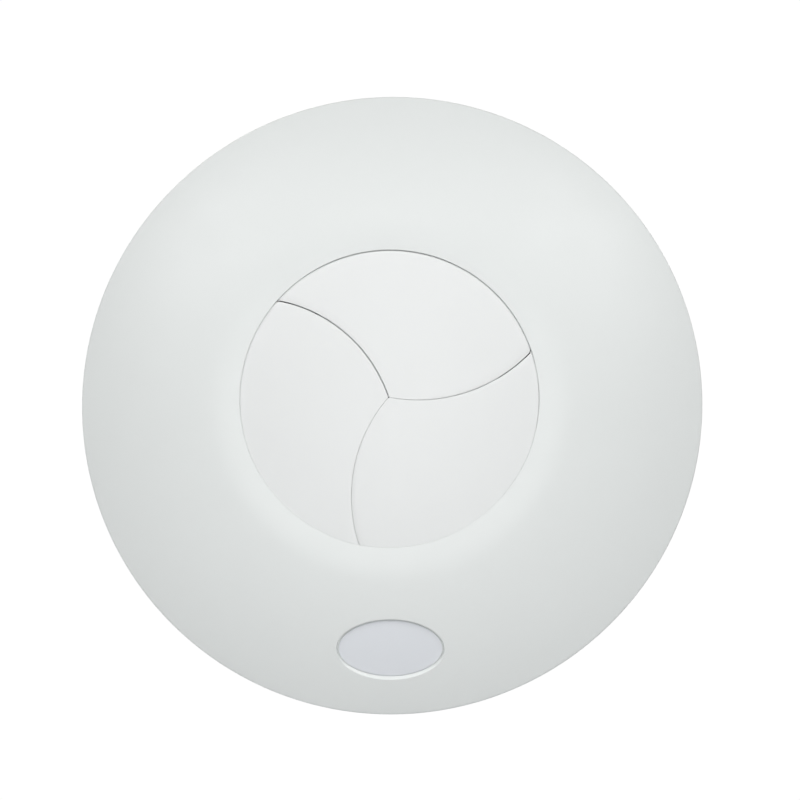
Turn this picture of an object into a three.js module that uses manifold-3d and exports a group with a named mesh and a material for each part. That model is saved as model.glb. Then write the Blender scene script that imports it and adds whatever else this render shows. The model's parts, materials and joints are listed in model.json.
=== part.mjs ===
// Round iris-shutter ventilation unit, in millimetres.
// Pieces are drawn with Z towards the room and turned at the end, so the front faces -Y and +Z is up.
import * as THREE from 'three';
import { mergeVertices } from 'three/addons/utils/BufferGeometryUtils.js';
import Module from 'manifold-3d';

const wasm = await Module();
wasm.setup();

const DEG = Math.PI / 180;
const GAP = 0.3;
const FINE = 48;
const DOME_STEPS = [2, 5];

// Cover
const COVER_R = 145;
const LIP_Z = 47.2;
const OPENING_R = 69.6;
const LIP_OUTER_R = 77;
const LIP_EDGE = 0.5;
const COVER_WALL = 1.6;
const SKIRT_R = 142;
const SKIRT_Z = 1;
const ARC_SLOPES = [2, 13, 31];
const SHOULDER_R = 86;
const LIP_TAPER = 4;
const RIM_BEVEL = [0.3, 0.8];
const RIM_UNDER = 3.6;
const PEG_ANGLES = [100, 220, 340];
const PEG_RING_R = 124;
const PEG_R = 3;
const PEG_Z = [8, 30];

// Badge
const BADGE_Y = -116;
const BADGE_TILT = 21.8;
const BADGE_HALF = [25.2, 14.7];
const BADGE_DEPTH = 2.2;
const BADGE_CLEARANCE = 0.4;
const BADGE_T = 1.2;
const BADGE_BORDER = 1.6;
const BADGE_FIELD = 0.3;
const BADGE_BACKING = 2;

// Iris
const IRIS_R = 70.4;
const LEAF_SPHERE = 340;
const LEAF_STEP = 1;
const LEAF_EDGE_R = 73.5;
const LEAF_T = 2;
const LEAF_SKIN = 0.8;
const SEAM_HALF = 0.25;
const SEAM_LAP = 1.4;
const SEAM_ANGLE = 138.8;
const PIVOT_ANGLE = 134.6;
const PIVOT_R = 81;
const EAR_R = 8;
const EAR_ROOT = { inset: 6, lag: 6 };
const STUB_R = 3;
const STUB_BORE_R = 1.5;
const STUB_CLEARANCE = 0.4;
const LEAF_APEX = LIP_Z - LEAF_STEP + sagitta(IRIS_R, LEAF_SPHERE);
const SPHERE_Z = LEAF_APEX - LEAF_SPHERE;
const PIVOT_TILT = Math.asin(PIVOT_R / LEAF_SPHERE);

// Carrier, gears and drive ring
const CARRIER_SPHERE = LEAF_SPHERE - LEAF_T - 0.8;
const CARRIER_T = 2.4;
const CARRIER_R = [53.1, 98];
const POST_ANGLES = [50, 170, 290];
const POST_R = 92;
const POST_TOP = 31.7;
const POST_SOCKET = { r: 4.6, top: 36, floor: 34 };
const CARRIER_SKIRT_R = 56;
const TEETH_LEAF = 15;
const TEETH_RATIO = 5;
const GEAR_T = 4;
const GEAR_HUB_R = 6.4;
const GEAR_BACKLASH = 0.22;
const GEAR_SPHERE = CARRIER_SPHERE - CARRIER_T - 3.7;
const LEAF_CONE = Math.atan2(Math.sin(PIVOT_TILT), TEETH_RATIO + Math.cos(PIVOT_TILT));
const RING_CONE = PIVOT_TILT - LEAF_CONE;
const GEAR_PITCH_R = GEAR_SPHERE * Math.tan(LEAF_CONE);
const RING_PITCH_R = (GEAR_SPHERE / Math.cos(LEAF_CONE)) * Math.sin(RING_CONE);
const RING_MESH_Z = SPHERE_Z + (GEAR_SPHERE / Math.cos(LEAF_CONE)) * Math.cos(RING_CONE);
const RING_INNER_R = 53.1;
const RING_Z = [31, 40.8];
const OPEN_TURN = 8;
const MESH_SIDE = 2;

// Actuator
const PINION_TEETH = 12;
const PINION_PITCH_R = 9;
const ARM_PITCH_R = 72;
const ACTUATOR_ANGLE = 214.6;
const PINION_Z = [30.6, 35];
const ARM_Z = [31, 34.6];
const ARM_BACKLASH = 0.2;
const ACTUATOR_R = ARM_PITCH_R + PINION_PITCH_R;
const ACTUATOR_SIDE = 13;
const ACTUATOR_Z = [7.3, 26];
const ACTUATOR_EAR_Y = 18.4;
const OUTPUT_SHAFT_R = 2;

// Fixings shared by the screws and their holes
const SCREW = { headR: 3, headT: 1.8, shankR: 1.4, slotHalf: 0.4, slotReach: 2.2 };
const SCREW_HOLE_R = 1.7;
const CLAMP_SCREW = { headR: 2.6, shankR: 1.1, slotHalf: 0.35, slotReach: 2 };

// Base plate, throat and spigot
const PLATE_R = 132;
const PLATE_T = 3;
const RIM_TOP = 12;
const THROAT_R = [50.5, 52.5];
const THROAT_TOP = 43.4;
const SPIGOT_R = [47.9, 49.5];
const SPIGOT_LENGTH = 52;
const LEDGE_Z = 2;
const GASKET_SEAT = { r: [53, 60], depth: 2 };
const RING_LEDGE_Z = [27, 30.6];
const SCREW_ANGLES = [52, 142, 232, 322];
const SCREW_RING_R = 118;
const SLOT_HALF_W = 2.4;
const SLOT_HALF_L = 4.5;
const RIB_ANGLES = [0, 28, 62, 84, 115];
const RIB = { half: 0.8, top: 9 };
const BED_Z = 2;

// Fan
const STRUT_ANGLES = [60, 150, 240, 330];
const SPIDER_Z = [2.3, 10];
const CUP_R = [17.7, 19.6];
const CUP_Z = [-8, 16];
const MOTOR_R = 17.3;
const MOTOR_Z = [-13.6, 13.5];
const SHAFT_R = 1.6;
const STRUT_HALF = 1.3;
const LEAD_EXIT = { r: 1.9, at: 11 };
const END_CAP_T = 2;
const STATOR = { r: [12.6, 15.9], poleR: 9.9, half: 7, poleHalf: 2.2 };
const ROTOR = { r: 9.3, half: 6.5 };
const BEARING_R = 5;
const BLADES = 7;
const IMPELLER_R = 46.4;
const HUB_R = 18.5;
const HUB_Z = [-42, -18];
const HUB_WALL = 1.8;
const BLADE = { chord: 27, camber: 3, thick: 1.1, stations: 4, steps: 2, pitch: [52, 30] };

// Electrics
const BOARD_MIN = [-54, -116];
const BOARD_SIZE = [42, 22];
const BOARD_Z = 8;
const MODULE_X = [-3.6, 36];
const MODULE_Y = -105;
const MODULE_HALF = 9.6;
const DIAL = { r: 4.1, wellR: 4.6, pivotR: 1.2, first: 11, spacing: 17 };
const TERMINAL_ANGLE = 196;
const TERMINAL_R = 112;
const GROMMET_ANGLE = 158;
const GROMMET_R = 112;
const CLAMP_ANGLE = 180;
const CLAMP_SCREW_AT = 7;
const CLAMP_CHANNEL = { r: 4.3, z: 6.6 };
const TERMINAL_WAYS = [{ x: 0, y: -11 }, { x: 3, y: 0 }, { x: 0, y: 11 }];
const TERMINAL_FIXING = [-4.6, 5.5];

function sagitta(r, sphere) {
  return sphere - Math.sqrt(sphere * sphere - r * r);
}

function solid(geometry) {
  const bare = geometry.clone();
  bare.deleteAttribute('normal');
  bare.deleteAttribute('uv');
  const merged = mergeVertices(bare, 1e-4);
  return new wasm.Manifold(new wasm.Mesh({
    numProp: 3,
    vertProperties: new Float32Array(merged.attributes.position.array),
    triVerts: new Uint32Array(merged.index.array),
  }));
}

function geometryOf(body) {
  const mesh = body.getMesh();
  const geometry = new THREE.BufferGeometry();
  geometry.setAttribute('position', new THREE.BufferAttribute(new Float32Array(mesh.vertProperties), 3));
  geometry.setIndex(new THREE.BufferAttribute(new Uint32Array(mesh.triVerts), 1));
  geometry.computeVertexNormals();
  return geometry;
}

function polar(r, degrees) {
  return [r * Math.cos(degrees * DEG), r * Math.sin(degrees * DEG)];
}

// Placement helpers: each takes a geometry and returns it.
function extruded(shape, z0, z1) {
  const options = { depth: z1 - z0, bevelEnabled: false, curveSegments: 16 };
  const geometry = new THREE.ExtrudeGeometry(shape, options);
  return geometry.translate(0, 0, z0);
}

function rod(r, z0, z1, x = 0, y = 0, segments = 24) {
  const geometry = new THREE.CylinderGeometry(r, r, z1 - z0, segments);
  return geometry.rotateX(Math.PI / 2).translate(x, y, (z0 + z1) / 2);
}

function block(x0, x1, y0, y1, z0, z1) {
  const geometry = new THREE.BoxGeometry(x1 - x0, y1 - y0, z1 - z0);
  return geometry.translate((x0 + x1) / 2, (y0 + y1) / 2, (z0 + z1) / 2);
}

function turned(points, segments) {
  const profile = points.map(([r, z]) => new THREE.Vector2(r, z));
  profile.push(profile[0].clone());
  const area = profile.slice(1).reduce((sum, p, i) => sum + profile[i].x * p.y - p.x * profile[i].y, 0);
  if (area < 0) {
    profile.reverse();
  }
  return new THREE.LatheGeometry(profile, segments).rotateX(Math.PI / 2);
}

function tubeRing(inner, outer, z0, z1, segments = 48) {
  return turned([[inner, z0], [outer, z0], [outer, z1], [inner, z1]], segments);
}

function polygon(points) {
  return new THREE.Shape(points.map(([x, y]) => new THREE.Vector2(x, y)));
}

function circlePoints(r, count, cx = 0, cy = 0) {
  return Array.from({ length: count }, (_, i) => {
    const [x, y] = polar(r, (i * 360) / count);
    return [cx + x, cy + y];
  });
}

function roundedRect(x0, x1, y0, y1, r) {
  const shape = new THREE.Shape();
  shape.moveTo(x0 + r, y0);
  shape.lineTo(x1 - r, y0);
  shape.absarc(x1 - r, y0 + r, r, -Math.PI / 2, 0);
  shape.lineTo(x1, y1 - r);
  shape.absarc(x1 - r, y1 - r, r, 0, Math.PI / 2);
  shape.lineTo(x0 + r, y1);
  shape.absarc(x0 + r, y1 - r, r, Math.PI / 2, Math.PI);
  shape.lineTo(x0, y0 + r);
  shape.absarc(x0 + r, y0 + r, r, Math.PI, Math.PI * 1.5);
  return shape;
}

function roundedBlock(x0, x1, y0, y1, z0, z1, r) {
  const geometry = new THREE.ExtrudeGeometry(roundedRect(x0, x1, y0, y1, r), {
    depth: z1 - z0,
    bevelEnabled: false,
    curveSegments: 1,
  });
  return geometry.translate(0, 0, z0);
}

function turnZ(geometry, degrees) {
  return geometry.rotateZ(degrees * DEG);
}

function copiesAt(angles, make) {
  return angles.map((angle) => turnZ(make(), angle));
}

function joined(...geometries) {
  return geometries.flat().map(solid).reduce((sum, part) => sum.add(part));
}

function cut(body, ...geometries) {
  return geometries.flat().map(solid).reduce((rest, part) => rest.subtract(part), body);
}

// Leads: a round wire along smooth points.
function lead(points, r) {
  const curve = new THREE.CatmullRomCurve3(points.map(([x, y, z]) => new THREE.Vector3(x, y, z)));
  const section = polygon(circlePoints(r, 6));
  return new THREE.ExtrudeGeometry(section, {
    steps: points.length * 2,
    extrudePath: curve,
    bevelEnabled: false,
  });
}

// Dome profile from the lip to the rim: two tangent arcs, offset inwards by the given depth.
function domeArc(offset, steps) {
  const [lipSlope, midSlope, rimSlope] = ARC_SLOPES.map((slope) => slope * DEG);
  const lipDrop = (LIP_OUTER_R - OPENING_R) * Math.tan(lipSlope);
  const arcs = [
    { r0: LIP_OUTER_R, r1: SHOULDER_R, s0: lipSlope, s1: midSlope },
    { r0: SHOULDER_R, r1: COVER_R, s0: midSlope, s1: rimSlope },
  ];
  const points = [];
  let top = LIP_Z - lipDrop;
  arcs.forEach(({ r0, r1, s0, s1 }, index) => {
    const radius = (r1 - r0) / (Math.sin(s1) - Math.sin(s0));
    const centreR = r0 - radius * Math.sin(s0);
    const centreZ = top - radius * Math.cos(s0);
    const count = steps[index];
    for (let i = index; i <= count; i += 1) {
      const slope = s0 + ((s1 - s0) * i) / count;
      const reach = radius - offset;
      points.push([centreR + reach * Math.sin(slope), centreZ + reach * Math.cos(slope)]);
    }
    top = centreZ + radius * Math.cos(s1);
  });
  return points;
}

function domeShell() {
  const outer = domeArc(0, DOME_STEPS);
  const inner = domeArc(COVER_WALL, DOME_STEPS).slice(0, -1);
  const [rimR, rimZ] = outer[outer.length - 1];
  const profile = [
    [OPENING_R, LIP_Z - LIP_EDGE],
    [OPENING_R, LIP_Z],
    ...outer,
    [rimR - RIM_BEVEL[0], rimZ - RIM_BEVEL[1]],
    [SKIRT_R, SKIRT_Z],
    [SKIRT_R - COVER_WALL, SKIRT_Z],
    [COVER_R - COVER_WALL - 1, rimZ - RIM_UNDER],
    ...inner.reverse(),
    [OPENING_R + LIP_TAPER, LIP_Z - LIP_EDGE - 0.1],
  ];
  return turned(profile, FINE);
}

// The badge plane: an oval frame whose local Z is the cover's normal at the badge.
function onBadgePlane(geometry) {
  const radius = COVER_R - SHOULDER_R;
  const reach = radius / (Math.sin(ARC_SLOPES[2] * DEG) - Math.sin(ARC_SLOPES[1] * DEG));
  const slope = Math.asin(Math.sin(ARC_SLOPES[1] * DEG) + (-BADGE_Y - SHOULDER_R) / reach);
  const shoulder = domeArc(0, DOME_STEPS)[DOME_STEPS[0]][1];
  const z = shoulder - reach * (Math.cos(ARC_SLOPES[1] * DEG) - Math.cos(slope));
  return geometry.rotateX(BADGE_TILT * DEG).translate(0, BADGE_Y, z);
}

function oval(a, b, z0, z1, segments = 32) {
  return rod(1, z0, z1, 0, 0, segments).scale(a, b, 1);
}

function cover() {
  const [a, b] = BADGE_HALF;
  const reach = [a + BADGE_BACKING, b + BADGE_BACKING];
  const pocket = onBadgePlane(oval(...reach, -BADGE_DEPTH - BADGE_BACKING, -1));
  const recess = onBadgePlane(oval(a, b, -BADGE_DEPTH, 8));
  const underside = domeArc(1, DOME_STEPS).reverse();
  const below = turned([[0, 0], [SKIRT_R - 3, 0], ...underside, [0, LIP_Z - 1]], FINE);
  const boss = solid(pocket).intersect(solid(below));
  const pegs = copiesAt(PEG_ANGLES, () => rod(PEG_R, ...PEG_Z, PEG_RING_R, 0, 12));
  const body = joined(domeShell(), pegs).add(boss);
  return cut(body, recess);
}

function badge() {
  const [a, b] = BADGE_HALF.map((half) => half - BADGE_CLEARANCE);
  const [innerA, innerB] = [a - BADGE_BORDER, b - BADGE_BORDER];
  const floor = -BADGE_DEPTH + GAP;
  const plate = joined(onBadgePlane(oval(a, b, floor, floor + BADGE_T)));
  const field = onBadgePlane(oval(innerA, innerB, floor + BADGE_T - BADGE_FIELD, floor + 4));
  return cut(plate, field);
}

// Iris
function sphereShell(outer, inner, r0, r1, steps, segments) {
  const arc = (sphere) => Array.from({ length: steps + 1 }, (_, i) => {
    const r = r0 + ((r1 - r0) * i) / steps;
    return [r, SPHERE_Z + Math.sqrt(sphere * sphere - r * r)];
  });
  return turned([...arc(inner), ...arc(outer).reverse()], segments);
}

function sphereCap(outer, inner, radius, steps, segments) {
  const arc = (sphere) => Array.from({ length: steps + 1 }, (_, i) => {
    const r = (radius * i) / steps;
    return new THREE.Vector2(r, SPHERE_Z + Math.sqrt(sphere * sphere - r * r));
  });
  const profile = [...arc(inner), ...arc(outer).reverse()];
  return new THREE.LatheGeometry(profile, segments).rotateX(Math.PI / 2);
}

// A geometry drawn about the pivot axis, moved to the pivot with Z away from the sphere's centre.
function onPivot(geometry, index) {
  geometry.rotateY(PIVOT_TILT);
  geometry.translate(0, 0, SPHERE_Z);
  return turnZ(geometry, PIVOT_ANGLE + 120 * index);
}

function disc(r, cx, cy, segments) {
  return rod(r, 20, 70, cx, cy, segments);
}

function leafOutline(shift) {
  const convex = polar(IRIS_R, SEAM_ANGLE - 60);
  const concave = polar(IRIS_R, SEAM_ANGLE + 60);
  const pivot = polar(PIVOT_R, PIVOT_ANGLE);
  const root = polar(IRIS_R - EAR_ROOT.inset, PIVOT_ANGLE - EAR_ROOT.lag);
  const ear = solid(disc(EAR_R, ...pivot, 24)).add(solid(disc(EAR_R, ...root, 24))).hull();
  const body = solid(disc(LEAF_EDGE_R, 0, 0, 72))
    .intersect(solid(disc(IRIS_R - SEAM_HALF + shift, ...convex, 72)));
  return body.add(ear).subtract(solid(disc(IRIS_R + SEAM_HALF + shift, ...concave, 72)));
}

// The upper skin stops at the seam; the lower half steps past it, under the next leaf's edge.
function leafPlate() {
  const reach = 94;
  const cap = (outer, inner) => solid(sphereCap(outer, inner, reach, 4, 36));
  const outline = leafOutline(0);
  const lapOutline = leafOutline(SEAM_LAP);
  const whole = cap(LEAF_SPHERE, LEAF_SPHERE - LEAF_T).intersect(outline.add(lapOutline));
  const above = cap(LEAF_SPHERE + 3, LEAF_SPHERE - LEAF_SKIN - GAP).subtract(outline);
  const beneath = cap(LEAF_SPHERE - LEAF_SKIN, LEAF_SPHERE - LEAF_T - 3).subtract(lapOutline);
  return whole.subtract(above).subtract(beneath);
}

function leaf(index) {
  const stub = rod(STUB_R, GEAR_SPHERE - GEAR_T / 2, LEAF_SPHERE - 1, 0, 0, 18);
  const blind = rod(STUB_BORE_R, GEAR_SPHERE - GEAR_T, GEAR_SPHERE + 5, 0, 0, 12);
  const body = leafPlate().rotate([0, 0, 120 * index]).add(solid(onPivot(stub, index)));
  return body.subtract(solid(onPivot(blind, index)));
}

// Gear outline: involute-like teeth about the origin. Slim teeth leave backlash.
function gearOutline(teeth, pitchR, thin, firstTooth, toothCount) {
  const module = (2 * pitchR) / teeth;
  const rootR = pitchR - 1.2 * module;
  const tipR = pitchR + 0.7 * module;
  const pitch = (2 * Math.PI) / teeth;
  const radii = [rootR, pitchR - 0.45 * module, pitchR + 0.15 * module, tipR];
  const pressure = 20 * DEG;
  const baseR = pitchR * Math.cos(pressure);
  const involute = (r) => {
    const angle = Math.acos(Math.min(1, baseR / r));
    return Math.tan(angle) - angle;
  };
  const undercut = (r) => (r < baseR ? (0.35 * (baseR - r)) / r : 0);
  const atPitch = pitch / 4 - thin / pitchR + involute(pitchR);
  const halfAt = (r) => atPitch - involute(Math.max(r, baseR)) - undercut(r);
  const points = [];
  for (let i = 0; i < toothCount; i += 1) {
    const mid = firstTooth + i * pitch;
    const flank = radii.map((r) => [r, halfAt(r)]);
    const mark = (r, angle) => points.push([r * Math.cos(angle), r * Math.sin(angle)]);
    flank.forEach(([r, half]) => mark(r, mid - half));
    flank.reverse().forEach(([r, half]) => mark(r, mid + half));
  }
  return points;
}

// A toothed segment on a round hub, with teeth only where the leaf's swing uses them.
function leafGear(index) {
  const pitch = (2 * Math.PI) / TEETH_LEAF;
  const count = 2 * MESH_SIDE + 2;
  const first = Math.PI + (MESH_SIDE - 0.5 - count + 1) * pitch;
  const outline = gearOutline(TEETH_LEAF, GEAR_PITCH_R, GEAR_BACKLASH, first, count);
  const [z0, z1] = [GEAR_SPHERE - GEAR_T / 2, GEAR_SPHERE + GEAR_T / 2];
  const segment = solid(extruded(polygon([[0, 0], ...outline]), z0, z1));
  const hub = solid(rod(GEAR_HUB_R, z0, z1, 0, 0, 24));
  const bore = solid(rod(STUB_R + GAP, z0 - 5, z1 + 5, 0, 0, 18));
  const gear = geometryOf(segment.add(hub).subtract(bore));
  return solid(onPivot(gear, index));
}

function leafScrew(index) {
  const top = GEAR_SPHERE - GEAR_T / 2 - GAP;
  const screw = joined(rod(4.2, top - 1.6, top, 0, 0, 16), rod(1.2, top - 0.5, top + 6, 0, 0, 8));
  const slot = block(-3, 3, -0.4, 0.4, top - 2, top - 1);
  return solid(onPivot(geometryOf(cut(screw, slot)), index));
}

function carrier() {
  const shell = sphereShell(CARRIER_SPHERE, CARRIER_SPHERE - CARRIER_T, ...CARRIER_R, 2, FINE);
  const skirtTop = SPHERE_Z + CARRIER_SPHERE - 6;
  const skirt = tubeRing(CARRIER_R[0], CARRIER_SKIRT_R, RING_Z[1] + 0.4, skirtTop, FINE);
  const { r: bossR, top: bossTop, floor } = POST_SOCKET;
  const bosses = copiesAt(POST_ANGLES, () => rod(bossR, POST_TOP + GAP, bossTop, POST_R, 0, 14));
  const heads = copiesAt(POST_ANGLES, () => rod(SCREW.headR + 0.5, floor, 60, POST_R, 0, 14));
  const shanks = copiesAt(POST_ANGLES, () => rod(SCREW_HOLE_R, 20, 60, POST_R, 0, 10));
  const pivotHole = () => rod(STUB_R + STUB_CLEARANCE, 300, 360, 0, 0, 18);
  const pivots = [0, 1, 2].map((index) => onPivot(pivotHole(), index));
  return cut(joined(shell, skirt, bosses), heads, shanks, pivots);
}

function carrierScrew(index) {
  const angle = POST_ANGLES[index];
  const seat = POST_SOCKET.floor + GAP;
  const { slotReach, slotHalf } = SCREW;
  const head = rod(SCREW.headR, seat, seat + 1.9, POST_R, 0, 14);
  const shank = rod(SCREW.shankR, 22, seat + 0.7, POST_R, 0, 8);
  const slot = block(POST_R - slotReach, POST_R + slotReach, -slotHalf, slotHalf, seat + 0.9, seat + 3);
  return cut(joined(turnZ(head, angle), turnZ(shank, angle)), turnZ(slot, angle));
}

// Teeth that lean outwards with the sphere, so they meet the tilted leaf gears.
function coneTeeth(index) {
  const teeth = TEETH_LEAF * TEETH_RATIO;
  const pitch = (2 * Math.PI) / teeth;
  const first = (PIVOT_ANGLE + 120 * index) * DEG - MESH_SIDE * pitch;
  const count = 2 * MESH_SIDE + 1 + Math.ceil((OPEN_TURN * DEG) / pitch);
  const outline = gearOutline(teeth, RING_PITCH_R, GEAR_BACKLASH, first, count);
  const geometry = extruded(polygon([[0, 0], ...outline]), RING_MESH_Z - 3.6, RING_Z[1]);
  const position = geometry.attributes.position;
  for (let i = 0; i < position.count; i += 1) {
    const scale = (position.getZ(i) - SPHERE_Z) / (RING_MESH_Z - SPHERE_Z);
    position.setX(i, position.getX(i) * scale);
    position.setY(i, position.getY(i) * scale);
  }
  return geometry;
}

function armTeeth() {
  const pitch = ((2 * Math.PI) / PINION_TEETH) * (PINION_PITCH_R / ARM_PITCH_R);
  const first = ACTUATOR_ANGLE * DEG - MESH_SIDE * pitch;
  const count = 2 * MESH_SIDE + 1 + Math.ceil((OPEN_TURN * DEG) / pitch);
  const outline = gearOutline((2 * Math.PI) / pitch, ARM_PITCH_R, ARM_BACKLASH, first, count);
  return extruded(polygon([[0, 0], ...outline]), ARM_Z[0], ARM_Z[1]);
}

function driveRing() {
  const module = (2 * RING_PITCH_R) / (TEETH_LEAF * TEETH_RATIO);
  const rootR = RING_PITCH_R - 1.6 * module;
  const body = solid(tubeRing(RING_INNER_R, rootR, RING_Z[0], RING_Z[1], FINE));
  const core = solid(rod(RING_INNER_R + 1, 0, 80, 0, 0, FINE));
  const sectors = [coneTeeth(0), coneTeeth(1), coneTeeth(2), armTeeth()];
  return sectors.reduce((sum, sector) => sum.add(solid(sector).subtract(core)), body);
}

function pinionCentre() {
  return polar(ACTUATOR_R, ACTUATOR_ANGLE);
}

function actuatorPinion() {
  const [x, y] = pinionCentre();
  const first = ACTUATOR_ANGLE * DEG + Math.PI + Math.PI / PINION_TEETH;
  const outline = gearOutline(PINION_TEETH, PINION_PITCH_R, ARM_BACKLASH, first, PINION_TEETH);
  const gear = extruded(polygon(outline), ...PINION_Z).translate(x, y, 0);
  const shaft = rod(OUTPUT_SHAFT_R, 20, PINION_Z[0] + 1, x, y, 14);
  return joined(gear, shaft);
}

function actuatorFrame(geometry) {
  return turnZ(geometry, ACTUATOR_ANGLE);
}

function actuatorBody() {
  const [floor, top] = ACTUATOR_Z;
  const [inner, outer] = [ACTUATOR_R - 14, ACTUATOR_R + 16];
  const side = ACTUATOR_SIDE;
  const housing = roundedBlock(inner, outer, -side, side, floor, top, 3);
  const recess = roundedBlock(inner + 3, outer - 3, 3 - side, side - 3, top - 0.8, top + 4, 2);
  const boss = rod(6, top - 1, top + 3.6, ACTUATOR_R, 0, 18);
  const ear = (y) => roundedBlock(ACTUATOR_R - 5, ACTUATOR_R + 5, y - 5, y + 5, floor, floor + 3, 2);
  const ears = [-17, 17].map(ear);
  const holes = [-1, 1].map((way) => rod(1.8, 0, 20, ACTUATOR_R, way * ACTUATOR_EAR_Y, 10));
  const bore = rod(OUTPUT_SHAFT_R + 0.4, 19, 40, ACTUATOR_R, 0, 14);
  const lid = joined(housing).subtract(solid(recess)).add(solid(boss));
  const body = lid.add(joined(ears)).subtract(joined(holes)).subtract(solid(bore));
  return body.rotate([0, 0, ACTUATOR_ANGLE]);
}

function actuatorScrew(way) {
  const y = way * ACTUATOR_EAR_Y;
  const seat = ACTUATOR_Z[0] + 3 + GAP;
  const { headR, headT, shankR, slotHalf, slotReach } = SCREW;
  const head = rod(headR, seat, seat + headT, ACTUATOR_R, y, 14);
  const shank = rod(shankR, 3.5, seat + 0.4, ACTUATOR_R, y, 8);
  const slot = block(
    ACTUATOR_R - slotReach,
    ACTUATOR_R + slotReach,
    y - slotHalf,
    y + slotHalf,
    seat + 1,
    seat + 2.4,
  );
  return cut(joined(actuatorFrame(head), actuatorFrame(shank)), actuatorFrame(slot));
}

// Base plate
function screwSlot(angle) {
  const half = SLOT_HALF_L - SLOT_HALF_W;
  const ends = [-half, half].map((shift) => solid(rod(SLOT_HALF_W, -5, 10, SCREW_RING_R, shift, 12)));
  return ends[0].add(ends[1]).hull().rotate([0, 0, angle]);
}

function baseShell() {
  return turned([
    [SPIGOT_R[0], -SPIGOT_LENGTH],
    [SPIGOT_R[1], -SPIGOT_LENGTH],
    [SPIGOT_R[1], 0],
    [GASKET_SEAT.r[0], 0],
    [GASKET_SEAT.r[0], GASKET_SEAT.depth],
    [GASKET_SEAT.r[1], GASKET_SEAT.depth],
    [GASKET_SEAT.r[1], 0],
    [PLATE_R, 0],
    [PLATE_R, RIM_TOP],
    [PLATE_R - 2, RIM_TOP],
    [PLATE_R - 2, PLATE_T],
    [THROAT_R[1], PLATE_T],
    [THROAT_R[1], RING_LEDGE_Z[0] - 3],
    [THROAT_R[1] + 3.6, RING_LEDGE_Z[0]],
    [THROAT_R[1] + 3.6, RING_LEDGE_Z[1]],
    [THROAT_R[1], RING_LEDGE_Z[1]],
    [THROAT_R[1], THROAT_TOP],
    [THROAT_R[0], THROAT_TOP],
    [THROAT_R[0], LEDGE_Z],
    [SPIGOT_R[0], LEDGE_Z],
  ], FINE);
}

function boardPegs() {
  const [x0, y0] = BOARD_MIN;
  const [w, h] = BOARD_SIZE;
  return [[x0 + 4, y0 + 4], [x0 + w - 4, y0 + 4], [x0 + 4, y0 + h - 4], [x0 + w - 4, y0 + h - 4]];
}

function basePlate() {
  const { half, top } = RIB;
  const posts = copiesAt(POST_ANGLES, () => rod(4, BED_Z, POST_TOP, POST_R, 0, 14));
  const sockets = copiesAt(PEG_ANGLES, () => rod(5.6, BED_Z, 20, PEG_RING_R, 0, 12));
  const ribs = copiesAt(RIB_ANGLES, () => block(THROAT_R[1] + 0.5, PLATE_R - 1, -half, half, BED_Z, top));
  const underEar = (way, r, z0, z1, n) => actuatorFrame(rod(r, z0, z1, ACTUATOR_R, way * ACTUATOR_EAR_Y, n));
  const pads = [-1, 1].map((way) => underEar(way, 4, BED_Z, 7, 12));
  const pegs = boardPegs().map(([x, y]) => rod(3, BED_Z, BOARD_Z - GAP, x, y, 10));
  const terminalBed = turnZ(block(TERMINAL_R - 9, TERMINAL_R + 9, -19, 19, BED_Z, 4.6), TERMINAL_ANGLE);
  const clampBed = turnZ(block(GROMMET_R - 10, GROMMET_R + 10, -4, 4, BED_Z, 6), CLAMP_ANGLE);
  const tray = block(0, 46, MODULE_Y - 9, MODULE_Y + 9, BED_Z, 5.4);
  const body = joined(baseShell(), posts, sockets, ribs, pads, pegs, terminalBed, clampBed, tray);
  const clampHole = (way) => rod(1.4, 3, 20, GROMMET_R + way * CLAMP_SCREW_AT, 0, 8);
  const leadHole = rod(2.2, -10, 10, 0, 0, 16).rotateY(Math.PI / 2).translate(51.5, 0, 12.6);
  const drills = [
    ...copiesAt(POST_ANGLES, () => rod(SCREW_HOLE_R, 20, 40, POST_R, 0, 10)),
    ...copiesAt(PEG_ANGLES, () => rod(PEG_R + 0.5, 6, 30, PEG_RING_R, 0, 12)),
    ...[-1, 1].map((way) => underEar(way, SCREW_HOLE_R, 3.2, 20, 10)),
    ...boardPegs().map(([x, y]) => rod(1.2, 4, 20, x, y, 8)),
    turnZ(rod(6.4, -5, 20, GROMMET_R, 0, 20), GROMMET_ANGLE),
    turnZ(clampHole(-1), CLAMP_ANGLE),
    turnZ(clampHole(1), CLAMP_ANGLE),
    turnZ(rod(1.4, 3.3, 20, TERMINAL_R, 0, 12), TERMINAL_ANGLE),
    turnZ(leadHole, STRUT_ANGLES[2]),
  ];
  const drilled = cut(body, drills);
  return SCREW_ANGLES.reduce((rest, angle) => rest.subtract(screwSlot(angle)), drilled);
}

function wallGasket() {
  const [inner, outer] = GASKET_SEAT.r;
  return joined(tubeRing(inner + 0.4, outer - 0.4, -1, GASKET_SEAT.depth - GAP, FINE));
}

function wallScrew(angle) {
  const seat = PLATE_T + GAP;
  const { slotHalf } = SCREW;
  const head = turned([[0, seat], [4, seat], [4, seat + 1.1], [2.6, seat + 2.5], [0, seat + 2.5]], 14);
  const shank = rod(1.9, -6, seat + 0.7, 0, 0, 8);
  const cross = [
    block(-2, 2, -slotHalf, slotHalf, seat + 1.5, seat + 3.7),
    block(-slotHalf, slotHalf, -2, 2, seat + 1.5, seat + 3.7),
  ];
  const placed = (geometry) => turnZ(geometry.translate(SCREW_RING_R, 0, 0), angle);
  return cut(joined(placed(head), placed(shank)), cross.map(placed));
}

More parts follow.
